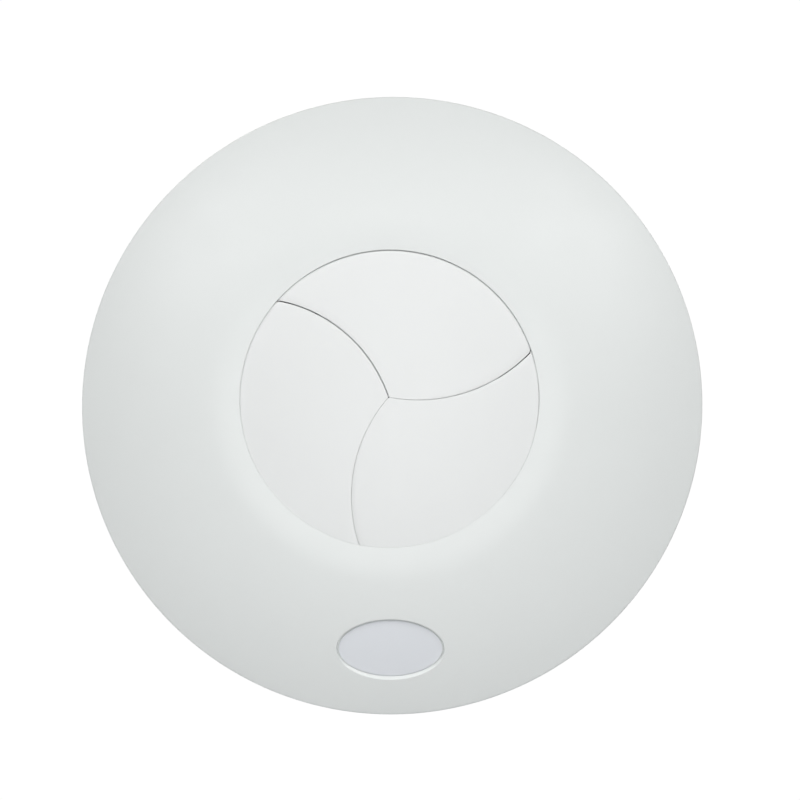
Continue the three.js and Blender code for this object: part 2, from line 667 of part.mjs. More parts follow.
// Fan
function motorSpider() {
  const ring = tubeRing(48.4, 50.1, ...SPIDER_Z, FINE);
  const cup = turned([
    [CUP_R[0], CUP_Z[0]],
    [CUP_R[1], CUP_Z[0]],
    [CUP_R[1], CUP_Z[1] - 2],
    [CUP_R[1] - 2, CUP_Z[1]],
    [6, CUP_Z[1]],
    [6, MOTOR_Z[1] + GAP],
    [CUP_R[0], MOTOR_Z[1] + GAP],
  ], 24);
  const [low, high] = SPIDER_Z;
  const strut = () => block(CUP_R[1] - 0.8, 49, -STRUT_HALF, STRUT_HALF, low, high - 1);
  const struts = copiesAt(STRUT_ANGLES, strut);
  const exit = turnZ(rod(LEAD_EXIT.r, 10, 20, LEAD_EXIT.at, 0, 14), STRUT_ANGLES[2]);
  return cut(joined(ring, cup, struts), exit);
}

function motorCan() {
  const [z0, z1] = MOTOR_Z;
  const shell = turned([
    [16.3, z0],
    [MOTOR_R, z0],
    [MOTOR_R, z1 - 1],
    [MOTOR_R - 1, z1],
    [3.2, z1],
    [3.2, z1 - 1],
    [16.3, z1 - 1],
  ], 24);
  const exit = turnZ(rod(LEAD_EXIT.r, z1 - 3, z1 + 3, LEAD_EXIT.at, 0, 14), STRUT_ANGLES[2]);
  return cut(joined(shell), exit);
}

function motorEndCap() {
  const [z0] = MOTOR_Z;
  return joined(turned([
    [3.2, z0 - END_CAP_T],
    [MOTOR_R, z0 - END_CAP_T],
    [MOTOR_R, z0 - GAP],
    [15.8, z0 - GAP],
    [15.8, z0 + 1],
    [14, z0 + 1],
    [14, z0 - 0.4],
    [3.2, z0 - 0.4],
  ], 24));
}

function stator() {
  const { r, poleR, half, poleHalf } = STATOR;
  const yoke = tubeRing(...r, -half, half, 24);
  const pole = () => block(poleR, r[0] + 0.8, -poleHalf, poleHalf, -half, half);
  const poles = copiesAt([0, 60, 120, 180, 240, 300], pole);
  return joined(yoke, poles);
}

function motorRotor() {
  return joined(tubeRing(SHAFT_R + GAP, ROTOR.r, -ROTOR.half, ROTOR.half, 24));
}

function motorShaft() {
  return joined(rod(SHAFT_R, -47, 12.2, 0, 0, 16));
}

function bearing(z0, z1) {
  return joined(turned([
    [SHAFT_R + GAP, z0],
    [BEARING_R, z0],
    [BEARING_R, z1],
    [SHAFT_R + GAP, z1],
  ], 20));
}

// One blade: a curved section carried outwards while it twists flatter.
function blade() {
  const { chord, camber, thick, stations, steps, pitch } = BLADE;
  const side = (sign) => Array.from({ length: stations + 1 }, (_, i) => {
    const t = i / stations;
    const arch = camber * 4 * t * (1 - t);
    const half = thick * (0.35 + 2.6 * t * (1 - t)) * 0.5;
    return [(t - 0.5) * chord, arch + sign * half];
  });
  const section = polygon([...side(-1), ...side(1).reverse()]);
  const inner = HUB_R - 1.2;
  const span = IMPELLER_R + 2 - inner;
  const geometry = new THREE.ExtrudeGeometry(section, { depth: span, steps, bevelEnabled: false });
  const position = geometry.attributes.position;
  for (let i = 0; i < position.count; i += 1) {
    const t = position.getZ(i) / span;
    const stagger = (pitch[0] + (pitch[1] - pitch[0]) * t) * DEG;
    const [u, v] = [position.getX(i), position.getY(i)];
    const across = u * Math.cos(stagger) - v * Math.sin(stagger);
    const along = u * Math.sin(stagger) + v * Math.cos(stagger);
    position.setXYZ(i, inner + position.getZ(i), across, along);
  }
  return geometry.translate(0, 0, (HUB_Z[0] + HUB_Z[1]) / 2);
}

function impeller() {
  const [z0, z1] = HUB_Z;
  const hub = solid(turned([
    [SHAFT_R + GAP, z0],
    [12, z0],
    [HUB_R - 1, z0 + 4],
    [HUB_R, z0 + 8],
    [HUB_R, z1],
    [HUB_R - HUB_WALL, z1],
    [HUB_R - HUB_WALL, z0 + 8],
    [11, z0 + 2.4],
    [5, z0 + 2.4],
    [5, z1 - 2],
    [SHAFT_R + GAP, z1 - 2],
  ], 24));
  const angles = Array.from({ length: BLADES }, (_, i) => (i * 360) / BLADES);
  const blades = joined(copiesAt(angles, blade));
  const bounds = solid(tubeRing(HUB_R - 1.4, IMPELLER_R, z0, z1 + 2, 36));
  return hub.add(blades.intersect(bounds));
}

function impellerNut() {
  return joined(turned([[2.2, -45.6], [4, -45.6], [4, -42.3], [2.2, -42.3]], 6));
}

// Electrics
function terminalFrame(geometry) {
  return turnZ(geometry.translate(TERMINAL_R, 0, 0), TERMINAL_ANGLE);
}

function terminalBlock() {
  const body = joined(terminalFrame(roundedBlock(-7, 7, -17, 17, 4.9, 15, 1)));
  const ways = TERMINAL_WAYS.map(({ x, y }) => terminalFrame(rod(2.4, 10, 20, x, y, 10)));
  const mouth = ({ x, y }) => block(-8, x === 0 ? -4 : -3, y - 2, y + 2, 7, 9.6);
  const mouths = TERMINAL_WAYS.map((way) => terminalFrame(mouth(way)));
  const fixing = terminalFrame(rod(SCREW_HOLE_R, 0, 30, ...TERMINAL_FIXING, 10));
  return cut(body, ways, mouths, fixing);
}

function terminalScrew(index) {
  const { x, y } = TERMINAL_WAYS[index];
  const { slotHalf } = CLAMP_SCREW;
  const head = terminalFrame(rod(1.9, 10.3, 12.6, x, y, 10));
  const slot = terminalFrame(block(x - 2.4, x + 2.4, y - slotHalf, y + slotHalf, 11.8, 14));
  return cut(joined(head), slot);
}

function terminalCover() {
  const shell = joined(terminalFrame(roundedBlock(-8.9, 8.9, -18.9, 18.9, 4.9, 19, 2)));
  const cavity = terminalFrame(roundedBlock(-7.4, 7.4, -17.4, 17.4, 0, 17.4, 1.4));
  const entries = [-18, 18].map((y) => terminalFrame(block(-5, 3, y - 3, y + 3, 0, 9.2)));
  const hole = terminalFrame(rod(SCREW_HOLE_R, 0, 30, ...TERMINAL_FIXING, 14));
  return cut(shell, cavity, entries, hole);
}

function terminalCoverScrew() {
  const [x, y] = TERMINAL_FIXING;
  const { headR, slotHalf, slotReach } = CLAMP_SCREW;
  const shank = terminalFrame(rod(SCREW.shankR, 5.4, 20, x, y, 12));
  const head = terminalFrame(rod(headR, 19.3, 20.8, x, y, 18));
  const slot = terminalFrame(block(x - slotReach, x + slotReach, y - slotHalf, y + slotHalf, 20.1, 22));
  return cut(joined(shank, head), slot);
}

function cableClamp() {
  const bar = turnZ(block(GROMMET_R - 10, GROMMET_R + 10, -3.6, 3.6, 6.3, 13), CLAMP_ANGLE);
  const bore = rod(CLAMP_CHANNEL.r, -10, 10, 0, 0, 20).rotateX(Math.PI / 2);
  const channel = turnZ(bore.translate(GROMMET_R, 0, CLAMP_CHANNEL.z), CLAMP_ANGLE);
  const at = (way) => GROMMET_R + way * CLAMP_SCREW_AT;
  const holes = [-1, 1].map((way) => turnZ(rod(SCREW_HOLE_R, 0, 20, at(way), 0, 14), CLAMP_ANGLE));
  return cut(joined(bar), channel, holes);
}

function clampScrew(way) {
  const at = GROMMET_R + way * CLAMP_SCREW_AT;
  const { headR, shankR, slotHalf, slotReach } = CLAMP_SCREW;
  const shank = turnZ(rod(shankR, 3.6, 14, at, 0, 10), CLAMP_ANGLE);
  const head = turnZ(rod(headR, 13.3, 15, at, 0, 14), CLAMP_ANGLE);
  const slot = turnZ(block(at - slotReach, at + slotReach, -slotHalf, slotHalf, 14.3, 16), CLAMP_ANGLE);
  return cut(joined(shank, head), slot);
}

function cableGrommet() {
  const body = turned([
    [3.6, -1],
    [5.9, -1],
    [5.9, PLATE_T + GAP],
    [8.4, PLATE_T + GAP],
    [8.4, PLATE_T + 1.8],
    [7.4, PLATE_T + 2.6],
    [3.6, PLATE_T + 2.6],
  ], 20);
  return joined(turnZ(body.translate(GROMMET_R, 0, 0), GROMMET_ANGLE));
}

function controlBoard() {
  const [x0, y0] = BOARD_MIN;
  const [w, h] = BOARD_SIZE;
  const plate = roundedBlock(x0, x0 + w, y0, y0 + h, BOARD_Z, BOARD_Z + 1.6, 1);
  const holes = boardPegs().map(([x, y]) => rod(1.3, 0, 20, x, y, 12));
  return cut(joined(plate), holes);
}

function onBoard() {
  return BOARD_Z + 1.6 + GAP;
}

function capacitor() {
  const [x, y] = [BOARD_MIN[0] + 12, BOARD_MIN[1] + 11];
  const z = onBoard();
  return joined(turned([[0, z], [4.6, z], [5, z + 0.6], [5, z + 11.4], [4.4, z + 12], [0, z + 12]], 18)
    .translate(x, y, 0));
}

function relay() {
  const [x, y] = [BOARD_MIN[0] + 24, BOARD_MIN[1] + 6];
  return joined(roundedBlock(x - 5, x + 7, y - 1, y + 11, onBoard(), onBoard() + 10, 0.8));
}

function moduleSocket() {
  const [x1, y0] = [MODULE_X[0] - GAP, BOARD_MIN[1]];
  const body = roundedBlock(x1 - 7.6, x1, MODULE_Y - 9.5, MODULE_Y + 9.5, 5.7, 20, 1);
  const slot = block(x1 - 6, x1 + 5, MODULE_Y - 6.4, MODULE_Y + 6.4, 10.6, 15.4);
  const board = block(x1 - 20, x1 - 5, y0 - 2, y0 + BOARD_SIZE[1] + 2, BOARD_Z - 0.4, BOARD_Z + 2);
  return cut(joined(body), slot, board);
}

function moduleDialCentre(index) {
  return [MODULE_X[0] + DIAL.first + index * DIAL.spacing, MODULE_Y + 1];
}

function controlModule() {
  const [x0, x1] = MODULE_X;
  const [y0, y1] = [MODULE_Y - MODULE_HALF, MODULE_Y + MODULE_HALF];
  const body = joined(roundedBlock(x0, x1, y0, y1, 5.8, 23, 2.4));
  const tongue = block(x0 - 5.6, x0 + 1, MODULE_Y - 6, MODULE_Y + 6, 11, 15);
  const grip = [9, 13, 17].map((z) => block(x1 - 1, x1 + 1, MODULE_Y - 8, MODULE_Y + 8, z, z + 1.6));
  const wells = [0, 1].map((index) => rod(DIAL.wellR, 19.5, 30, ...moduleDialCentre(index), 16));
  const pivotR = DIAL.pivotR + 0.4;
  const pivots = [0, 1].map((index) => rod(pivotR, 14, 30, ...moduleDialCentre(index), 10));
  return cut(body.add(solid(tongue)), grip, wells, pivots);
}

function dial(index) {
  const [x, y] = moduleDialCentre(index);
  const knob = joined(rod(DIAL.r, 19.8, 22.6, x, y, 16), rod(DIAL.pivotR, 15, 21, x, y, 8));
  return cut(knob, block(x - 0.5, x + 0.5, y - 4.6, y + 3, 21.6, 24));
}

// Each lead starts in its device and ends on the board.
function motorLead() {
  const turn = (r, z) => [...polar(r, STRUT_ANGLES[2]), z];
  return joined(lead([
    turn(11, 11.6),
    turn(11, 15),
    turn(13.2, 18.6),
    turn(18.5, 19),
    turn(24, 13.6),
    turn(36, 12.6),
    turn(51, 12.6),
    turn(57, 12),
    [-32, -66, 10],
    [-36, -80, 13],
    [-37, -90, 16],
    [-37, -96.6, 14.5],
    [-37, -97.4, 11.6],
  ], 1.3));
}

function actuatorLead() {
  return joined(lead([
    [...polar(78, ACTUATOR_ANGLE + 10.6), 18],
    [...polar(79, ACTUATOR_ANGLE + 14), 18],
    [-54, -76, 15],
    [-51, -86, 15],
    [-50.5, -99, 15],
    [-50.4, -103.5, 14],
    [-50.4, -104.4, 11],
  ], 1));
}

function supplyLead() {
  const at = (r, angle, z) => [...polar(r, angle), z];
  return joined(lead([
    at(110, TERMINAL_ANGLE + 9.4, 7),
    at(110.4, TERMINAL_ANGLE + 12, 7),
    at(112, TERMINAL_ANGLE + 20, 7.4),
    at(113, TERMINAL_ANGLE + 30, 9),
    [-63, -99, 13.5],
    [-57, -107, 15],
    [-51.5, -108.4, 14],
    [-50.4, -108.6, 11],
  ], 1.3));
}

// Materials
function paint(color, roughness, metalness) {
  return () => new THREE.MeshStandardMaterial({ color, roughness, metalness });
}

const whitePlastic = paint(0xe9edeb, 0.38, 0);
const leafPlastic = paint(0xeceeee, 0.36, 0);
const badgePlastic = paint(0xcfd4d9, 0.3, 0.1);
const innerPlastic = paint(0xd9dcda, 0.5, 0);
const gearPlastic = paint(0xf2efe4, 0.45, 0);
const greyPlastic = paint(0x8f959a, 0.5, 0);
const darkPlastic = paint(0x2b2d30, 0.55, 0);
const steel = paint(0xb9bcc0, 0.35, 1);
const darkSteel = paint(0x6a6e73, 0.45, 1);
const brass = paint(0xc7a14a, 0.35, 1);
const rubber = paint(0x3a3c3d, 0.85, 0);
const foam = paint(0x55585a, 0.95, 0);
const boardGreen = paint(0x1f5a3a, 0.5, 0);
const wire = paint(0xd8d4cc, 0.6, 0);

const group = new THREE.Group();
group.name = 'ventilation_unit';

function place(name, body, material) {
  const mesh = new THREE.Mesh(geometryOf(body), material());
  mesh.name = name;
  group.add(mesh);
}

place('cover', cover(), whitePlastic);
place('badge', badge(), badgePlastic);
[0, 1, 2].forEach((index) => {
  place(`leaf_${index + 1}`, leaf(index), leafPlastic);
  place(`leaf_gear_${index + 1}`, leafGear(index), gearPlastic);
  place(`leaf_screw_${index + 1}`, leafScrew(index), steel);
  place(`carrier_screw_${index + 1}`, carrierScrew(index), steel);
  place(`terminal_screw_${index + 1}`, terminalScrew(index), brass);
});
place('iris_carrier', carrier(), innerPlastic);
place('drive_ring', driveRing(), gearPlastic);
place('actuator_body', actuatorBody(), darkPlastic);
place('actuator_pinion', actuatorPinion(), gearPlastic);
place('actuator_screw_1', actuatorScrew(-1), steel);
place('actuator_screw_2', actuatorScrew(1), steel);
place('base_plate', basePlate(), innerPlastic);
place('wall_gasket', wallGasket(), foam);
SCREW_ANGLES.forEach((angle, index) => place(`wall_screw_${index + 1}`, wallScrew(angle), steel));
place('motor_spider', motorSpider(), innerPlastic);
place('motor_can', motorCan(), steel);
place('motor_end_cap', motorEndCap(), darkSteel);
place('stator', stator(), darkSteel);
place('motor_rotor', motorRotor(), darkPlastic);
place('motor_shaft', motorShaft(), steel);
place('bearing_front', bearing(8.6, 11.6), steel);
place('bearing_rear', bearing(-12.8, -9.8), steel);
place('impeller', impeller(), greyPlastic);
place('impeller_nut', impellerNut(), brass);
place('terminal_block', terminalBlock(), darkPlastic);
place('terminal_cover', terminalCover(), innerPlastic);
place('terminal_cover_screw', terminalCoverScrew(), steel);
place('cable_clamp', cableClamp(), innerPlastic);
place('clamp_screw_1', clampScrew(-1), steel);
place('clamp_screw_2', clampScrew(1), steel);
place('cable_grommet', cableGrommet(), rubber);
place('control_board', controlBoard(), boardGreen);
place('capacitor', capacitor(), darkPlastic);
place('relay', relay(), darkPlastic);
place('module_socket', moduleSocket(), darkPlastic);
place('control_module', controlModule(), greyPlastic);
place('timer_dial', dial(0), whitePlastic);
place('humidity_dial', dial(1), whitePlastic);
place('motor_lead', motorLead(), wire);
place('actuator_lead', actuatorLead(), wire);
place('supply_lead', supplyLead(), wire);
group.rotation.x = Math.PI / 2;

export default group;
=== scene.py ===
import json
import math

import bpy
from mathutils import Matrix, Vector

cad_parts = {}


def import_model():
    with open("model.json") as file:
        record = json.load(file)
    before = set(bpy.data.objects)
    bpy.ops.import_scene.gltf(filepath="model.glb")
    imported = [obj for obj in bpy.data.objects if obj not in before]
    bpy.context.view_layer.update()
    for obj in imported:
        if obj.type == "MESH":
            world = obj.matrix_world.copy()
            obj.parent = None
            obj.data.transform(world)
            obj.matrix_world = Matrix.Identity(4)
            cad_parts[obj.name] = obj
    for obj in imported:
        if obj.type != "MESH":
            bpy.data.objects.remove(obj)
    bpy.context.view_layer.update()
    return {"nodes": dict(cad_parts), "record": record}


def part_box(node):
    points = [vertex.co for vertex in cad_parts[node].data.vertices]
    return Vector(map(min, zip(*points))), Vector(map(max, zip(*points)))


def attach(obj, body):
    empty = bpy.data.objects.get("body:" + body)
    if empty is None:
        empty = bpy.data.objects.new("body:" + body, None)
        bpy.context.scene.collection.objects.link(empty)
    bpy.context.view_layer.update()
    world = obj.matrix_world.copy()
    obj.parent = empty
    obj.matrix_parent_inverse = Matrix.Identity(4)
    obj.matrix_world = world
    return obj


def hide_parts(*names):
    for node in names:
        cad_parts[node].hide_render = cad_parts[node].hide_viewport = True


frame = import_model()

MM = 0.001
DEG = math.pi / 180

# The cover's shape, in millimetres about the duct axis, with Z towards the room
LIP_TOP = -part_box("cover")[0].y / MM
COVER_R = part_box("cover")[1].x / MM
IRIS_R = 70.4
OPENING_R = 69.6
LIP_R = 77.0
SHOULDER_R = 86.0
ARC_SLOPES = (2 * DEG, 13 * DEG, 31 * DEG)
WALL = 1.6
LIP_EDGE = 0.5
SKIRT_R = 142.0
SKIRT_Z = 1.0
PEG_ANGLES = (100, 220, 340)
PEG_RING_R = 124.0
PEG_R = 3.0

# The oval badge
BADGE_Y = -116.0
BADGE_TILT = 21.8 * DEG
BADGE_HALF = (25.2, 14.7)
BADGE_DEPTH = 2.2

# The iris leaves, pieces of one sphere
SPHERE = 340.0
SPHERE_Z = -286.432
LEAF_T = 2.0
LEAF_SKIN = 0.8
SEAM_ANGLE = 138.8
LEAF_EDGE_R = 73.5
LEAF_TURN = 120
PIVOT_ANGLE = 134.6
PIVOT_R = 81.0
PIVOT_TILT = math.asin(PIVOT_R / SPHERE)
STUB_BOTTOM = 327.1


def world(x, y, z):
    """A point of the drawing, with Z towards the room, in the row frame."""
    return (x * MM, -z * MM, y * MM)


def polar(r, degrees):
    return r * math.cos(degrees * DEG), r * math.sin(degrees * DEG)


def heading(azimuth, elevation):
    """The direction of a place around the object, seen from the object's front."""
    a, e = azimuth * DEG, elevation * DEG
    return Vector((math.sin(a) * math.cos(e), -math.cos(a) * math.cos(e), math.sin(e)))


# Camera, aimed at the middle of the cover's rim, with a shift that frames the unit
CAMERA_AZIMUTH = 2.5
CAMERA_ELEVATION = -6.1
CAMERA_DISTANCE = 4.0
CAMERA_LENS = 385.7
CAMERA_SENSOR = 36
CAMERA_SHIFT = (3.87 * MM, 2.05 * MM)
RIM_DEPTH = 22.0


def add_camera():
    back = heading(CAMERA_AZIMUTH, CAMERA_ELEVATION)
    turn = (-back).to_track_quat("-Z", "Y")
    aim = Vector(world(0, 0, RIM_DEPTH))
    aim += turn @ Vector((CAMERA_SHIFT[0], CAMERA_SHIFT[1], 0))
    data = bpy.data.cameras.new("camera")
    data.sensor_width = CAMERA_SENSOR
    data.lens = CAMERA_LENS
    camera = bpy.data.objects.new("camera", data)
    camera.rotation_mode = "QUATERNION"
    camera.rotation_quaternion = turn
    camera.location = aim + back * CAMERA_DISTANCE
    bpy.context.scene.collection.objects.link(camera)
    bpy.context.scene.camera = camera


# Materials. Noise scales are per metre, and a bump is a strength and a distance in metres
NOISE_SPAN = (0.3, 0.7)
CLOUD_SCALE = 24
SHEEN_SCALE = 60
WAVE_SCALE = 110
GRAIN_SCALE = 2600
SHEEN_SPAN = (-0.03, 0.04)
WAVE_BUMP = (0.12, 0.0002)
GRAIN_BUMP = (0.16, 0.00006)
PLASTIC_IOR = 1.49
TARNISH_SCALE = 90
TARNISH_TONES = (0.82, 1.1)
MARK_SPAN = (-0.07, 0.12)
MARK_BUMP = (0.3, 0.00005)
CELL_SCALE = 1100
CELL_TONES = (0.35, 1.5)
CELL_ROUGHNESS = (0.85, 0.98)
CELL_BUMP = (0.8, 0.0005)
TRACK_SCALE = 260
TRACK_GAP = {"Mortar Size": 0.07, "Mortar Smooth": 0.1, "Bias": -0.2}
TRACK_BUMP = (0.5, 0.00008)
MASK_SCALE = 300
MASK_ROUGHNESS = (0.26, 0.42)


def node_tree(name):
    material = bpy.data.materials.new(name)
    material.use_nodes = True
    tree = material.node_tree
    tree.nodes.clear()
    output = tree.nodes.new("ShaderNodeOutputMaterial")
    shader = tree.nodes.new("ShaderNodeBsdfPrincipled")
    tree.links.new(shader.outputs["BSDF"], output.inputs["Surface"])
    return material, tree, shader


def noise(tree, vector, scale, detail=2.0):
    node = tree.nodes.new("ShaderNodeTexNoise")
    node.inputs["Scale"].default_value = scale
    node.inputs["Detail"].default_value = detail
    node.inputs["Roughness"].default_value = 0.5
    tree.links.new(vector, node.inputs["Vector"])
    return node.outputs["Fac"]


def object_vector(tree, stretch=(1, 1, 1)):
    coordinate = tree.nodes.new("ShaderNodeTexCoord")
    if stretch == (1, 1, 1):
        return coordinate.outputs["Object"]
    mapping = tree.nodes.new("ShaderNodeMapping")
    mapping.inputs["Scale"].default_value = stretch
    tree.links.new(coordinate.outputs["Object"], mapping.inputs["Vector"])
    return mapping.outputs["Vector"]


def spread(tree, fac, low, high):
    """A value between low and high, following a noise over its usual span."""
    node = tree.nodes.new("ShaderNodeMapRange")
    node.inputs["From Min"].default_value = NOISE_SPAN[0]
    node.inputs["From Max"].default_value = NOISE_SPAN[1]
    node.inputs["To Min"].default_value = low
    node.inputs["To Max"].default_value = high
    tree.links.new(fac, node.inputs["Value"])
    return node.outputs["Result"]


def two_tone(tree, fac, dark, light):
    """A colour between dark and light."""
    node = tree.nodes.new("ShaderNodeMix")
    node.data_type = "RGBA"
    node.inputs["A"].default_value = (*dark, 1)
    node.inputs["B"].default_value = (*light, 1)
    tree.links.new(fac, node.inputs["Factor"])
    return node.outputs["Result"]


def bump(tree, height, strength, distance, normal=None):
    node = tree.nodes.new("ShaderNodeBump")
    node.inputs["Strength"].default_value = strength
    node.inputs["Distance"].default_value = distance
    tree.links.new(height, node.inputs["Height"])
    if normal is not None:
        tree.links.new(normal, node.inputs["Normal"])
    return node.outputs["Normal"]


def shade(color, factor):
    return tuple(min(1.0, c * factor) for c in color)


def plastic(name, color, roughness, grain, tone):
    """Moulded plastic: a fine spark-eroded grain over the slow waviness of a moulding."""
    material, tree, shader = node_tree(name)
    vector = object_vector(tree)
    cloud = noise(tree, vector, CLOUD_SCALE, 3)
    fine = noise(tree, vector, GRAIN_SCALE)
    wavy = noise(tree, vector, WAVE_SCALE)
    base = two_tone(tree, cloud, shade(color, 1 - tone), shade(color, 1 + tone))
    tree.links.new(base, shader.inputs["Base Color"])
    low, high = [roughness + change for change in SHEEN_SPAN]
    sheen = spread(tree, noise(tree, vector, SHEEN_SCALE, 4), low, high)
    tree.links.new(sheen, shader.inputs["Roughness"])
    waves = bump(tree, wavy, WAVE_BUMP[0] * grain, WAVE_BUMP[1])
    grained = bump(tree, fine, GRAIN_BUMP[0] * grain, GRAIN_BUMP[1], waves)
    tree.links.new(grained, shader.inputs["Normal"])
    shader.inputs["IOR"].default_value = PLASTIC_IOR
    return material


def metal(name, color, roughness, stretch, scale):
    """Machined or drawn metal: fine lines in one direction and a faint blotchy tarnish."""
    material, tree, shader = node_tree(name)
    lines = noise(tree, object_vector(tree, stretch), scale, 3)
    blotch = noise(tree, object_vector(tree), TARNISH_SCALE, 4)
    dark, light = [shade(color, tone) for tone in TARNISH_TONES]
    tree.links.new(two_tone(tree, blotch, dark, light), shader.inputs["Base Color"])
    low, high = [roughness + change for change in MARK_SPAN]
    tree.links.new(spread(tree, lines, low, high), shader.inputs["Roughness"])
    tree.links.new(bump(tree, lines, *MARK_BUMP), shader.inputs["Normal"])
    shader.inputs["Metallic"].default_value = 1.0
    return material


def foam(name, color):
    """Foam: small dark pores between paler walls."""
    material, tree, shader = node_tree(name)
    cells = tree.nodes.new("ShaderNodeTexVoronoi")
    cells.inputs["Scale"].default_value = CELL_SCALE
    tree.links.new(object_vector(tree), cells.inputs["Vector"])
    walls = cells.outputs["Distance"]
    dark, light = [shade(color, tone) for tone in CELL_TONES]
    tree.links.new(two_tone(tree, walls, dark, light), shader.inputs["Base Color"])
    tree.links.new(spread(tree, walls, *CELL_ROUGHNESS), shader.inputs["Roughness"])
    tree.links.new(bump(tree, walls, *CELL_BUMP), shader.inputs["Normal"])
    return material


def board(name, color, trace):
    """Green solder mask with the faint raised squares of the copper underneath."""
    material, tree, shader = node_tree(name)
    vector = object_vector(tree)
    tracks = tree.nodes.new("ShaderNodeTexBrick")
    tracks.inputs["Scale"].default_value = TRACK_SCALE
    for socket, value in TRACK_GAP.items():
        tracks.inputs[socket].default_value = value
    tree.links.new(vector, tracks.inputs["Vector"])
    base = two_tone(tree, tracks.outputs["Fac"], color, trace)
    tree.links.new(base, shader.inputs["Base Color"])
    sheen = spread(tree, noise(tree, vector, MASK_SCALE), *MASK_ROUGHNESS)
    tree.links.new(sheen, shader.inputs["Roughness"])
    tree.links.new(bump(tree, tracks.outputs["Fac"], *TRACK_BUMP), shader.inputs["Normal"])
    return material


def materials():
    """The finish for each material slot. Plastics: colour, roughness, grain and change of tone.
    Metals: colour, roughness, how the brushed lines stretch, and their scale."""
    return {
        "white_plastic": plastic("moulded_white", (0.80, 0.825, 0.815), 0.42, 1.0, 0.008),
        "leaf_plastic": plastic("moulded_leaf", (0.83, 0.845, 0.84), 0.40, 0.8, 0.008),
        "badge_plastic": plastic("moulded_badge", (0.78, 0.805, 0.84), 0.35, 0.8, 0.015),
        "inner_plastic": plastic("moulded_inner", (0.66, 0.68, 0.67), 0.5, 1.2, 0.03),
        "gear_plastic": plastic("acetal", (0.83, 0.80, 0.71), 0.38, 0.7, 0.03),
        "grey_plastic": plastic("moulded_grey", (0.25, 0.28, 0.30), 0.48, 1.0, 0.06),
        "dark_plastic": plastic("moulded_dark", (0.022, 0.024, 0.028), 0.5, 1.2, 0.15),
        "steel": metal("zinc_steel", (0.62, 0.63, 0.65), 0.3, (1, 0.05, 1), 1600),
        "dark_steel": metal("plain_steel", (0.33, 0.34, 0.36), 0.38, (1, 0.05, 1), 1400),
        "brass": metal("brass", (0.72, 0.52, 0.24), 0.3, (0.1, 1, 1), 1500),
        "rubber": plastic("soft_rubber", (0.035, 0.036, 0.038), 0.78, 2.0, 0.2),
        "foam": foam("closed_foam", (0.10, 0.105, 0.11)),
        "board": board("solder_mask", (0.010, 0.085, 0.04), (0.02, 0.15, 0.07)),
        "wire": plastic("wire_jacket", (0.62, 0.60, 0.56), 0.5, 1.0, 0.05),
    }


# Mesh helpers. A part is a list of points, in millimetres, and a list of faces
SHARP_ANGLE = 32
FILLET_SHARE = 0.49


def corner_arc(before, corner, after, radius, steps):
    """The points of a fillet at a corner of a profile."""
    a, c, b = Vector(before), Vector(corner), Vector(after)
    to_a, to_b = a - c, b - c
    half = to_a.angle(to_b) / 2
    longest = FILLET_SHARE * min(to_a.length, to_b.length)
    reach = min(radius / math.tan(half), longest)
    start, end = c + to_a.normalized() * reach, c + to_b.normalized() * reach
    centre = c + (to_a.normalized() + to_b.normalized()).normalized() * (reach / math.cos(half))
    sweep = (start - centre).angle_signed(end - centre)
    points = []
    for i in range(steps + 1):
        turn = -sweep * i / steps
        arm = start - centre
        points.append((
            centre.x + arm.x * math.cos(turn) - arm.y * math.sin(turn),
            centre.y + arm.x * math.sin(turn) + arm.y * math.cos(turn),
        ))
    return points


def filleted(profile, radii, steps=4):
    """A closed profile with some corners rounded; radii maps a corner's index to its radius."""
    points = []
    for i, corner in enumerate(profile):
        if i in radii:
            after = profile[(i + 1) % len(profile)]
            points += corner_arc(profile[i - 1], corner, after, radii[i], steps)
        else:
            points.append(corner)
    return points


def lathed(profile, segments, x=0.0, y=0.0):
    """A closed (radius, z) profile, anticlockwise, turned about the Z axis through (x, y)."""
    points = []
    for i in range(segments):
        c, s = polar(1, 360 * i / segments)
        points += [(x + r * c, y + r * s, z) for r, z in profile]
    return points, looped_faces(segments, len(profile))


def looped_faces(rows, columns):
    """The faces of a closed profile that goes once around and meets itself."""
    faces = []
    for i in range(rows):
        for j in range(columns):
            here, there = i * columns, ((i + 1) % rows) * columns
            k = (j + 1) % columns
            faces.append((here + j, there + j, there + k, here + k))
    return faces


def stacked(points, columns, clockwise=False):
    """A stack of closed rings of points with a cap at each end. The rings run anticlockwise, seen
    from the last one, unless they are said to be clockwise."""
    faces = []
    last = len(points) - columns
    for a in range(0, last, columns):
        b = a + columns
        for j in range(columns):
            k = (j + 1) % columns
            face = (a + j, a + k, b + k, b + j)
            faces.append((a + j, b + j, b + k, a + k) if clockwise else face)
    first_cap, last_cap = tuple(range(columns)), tuple(range(last, len(points)))
    faces += [first_cap, last_cap[::-1]] if clockwise else [first_cap[::-1], last_cap]
    return points, faces


def merged(*parts):
    """Several parts as one list of points and one of faces."""
    points, faces = [], []
    for part_points, part_faces in parts:
        base = len(points)
        points += part_points
        faces += [tuple(base + k for k in face) for face in part_faces]
    return points, faces


def piece(name, part, body, slot, finish, stands_for, sharp=SHARP_ANGLE):
    """An object of this shape, riding on a body and standing for CAD nodes."""
    points, faces = part
    mesh = bpy.data.meshes.new(name)
    mesh.from_pydata([world(*p) for p in points], [], faces)
    mesh.validate()
    mesh.polygons.foreach_set("use_smooth", [True] * len(mesh.polygons))
    mesh.set_sharp_from_angle(angle=sharp * DEG)
    mesh.materials.append(finish[slot])
    obj = bpy.data.objects.new(name, mesh)
    bpy.context.scene.collection.objects.link(obj)
    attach(obj, body)
    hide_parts(*stands_for)


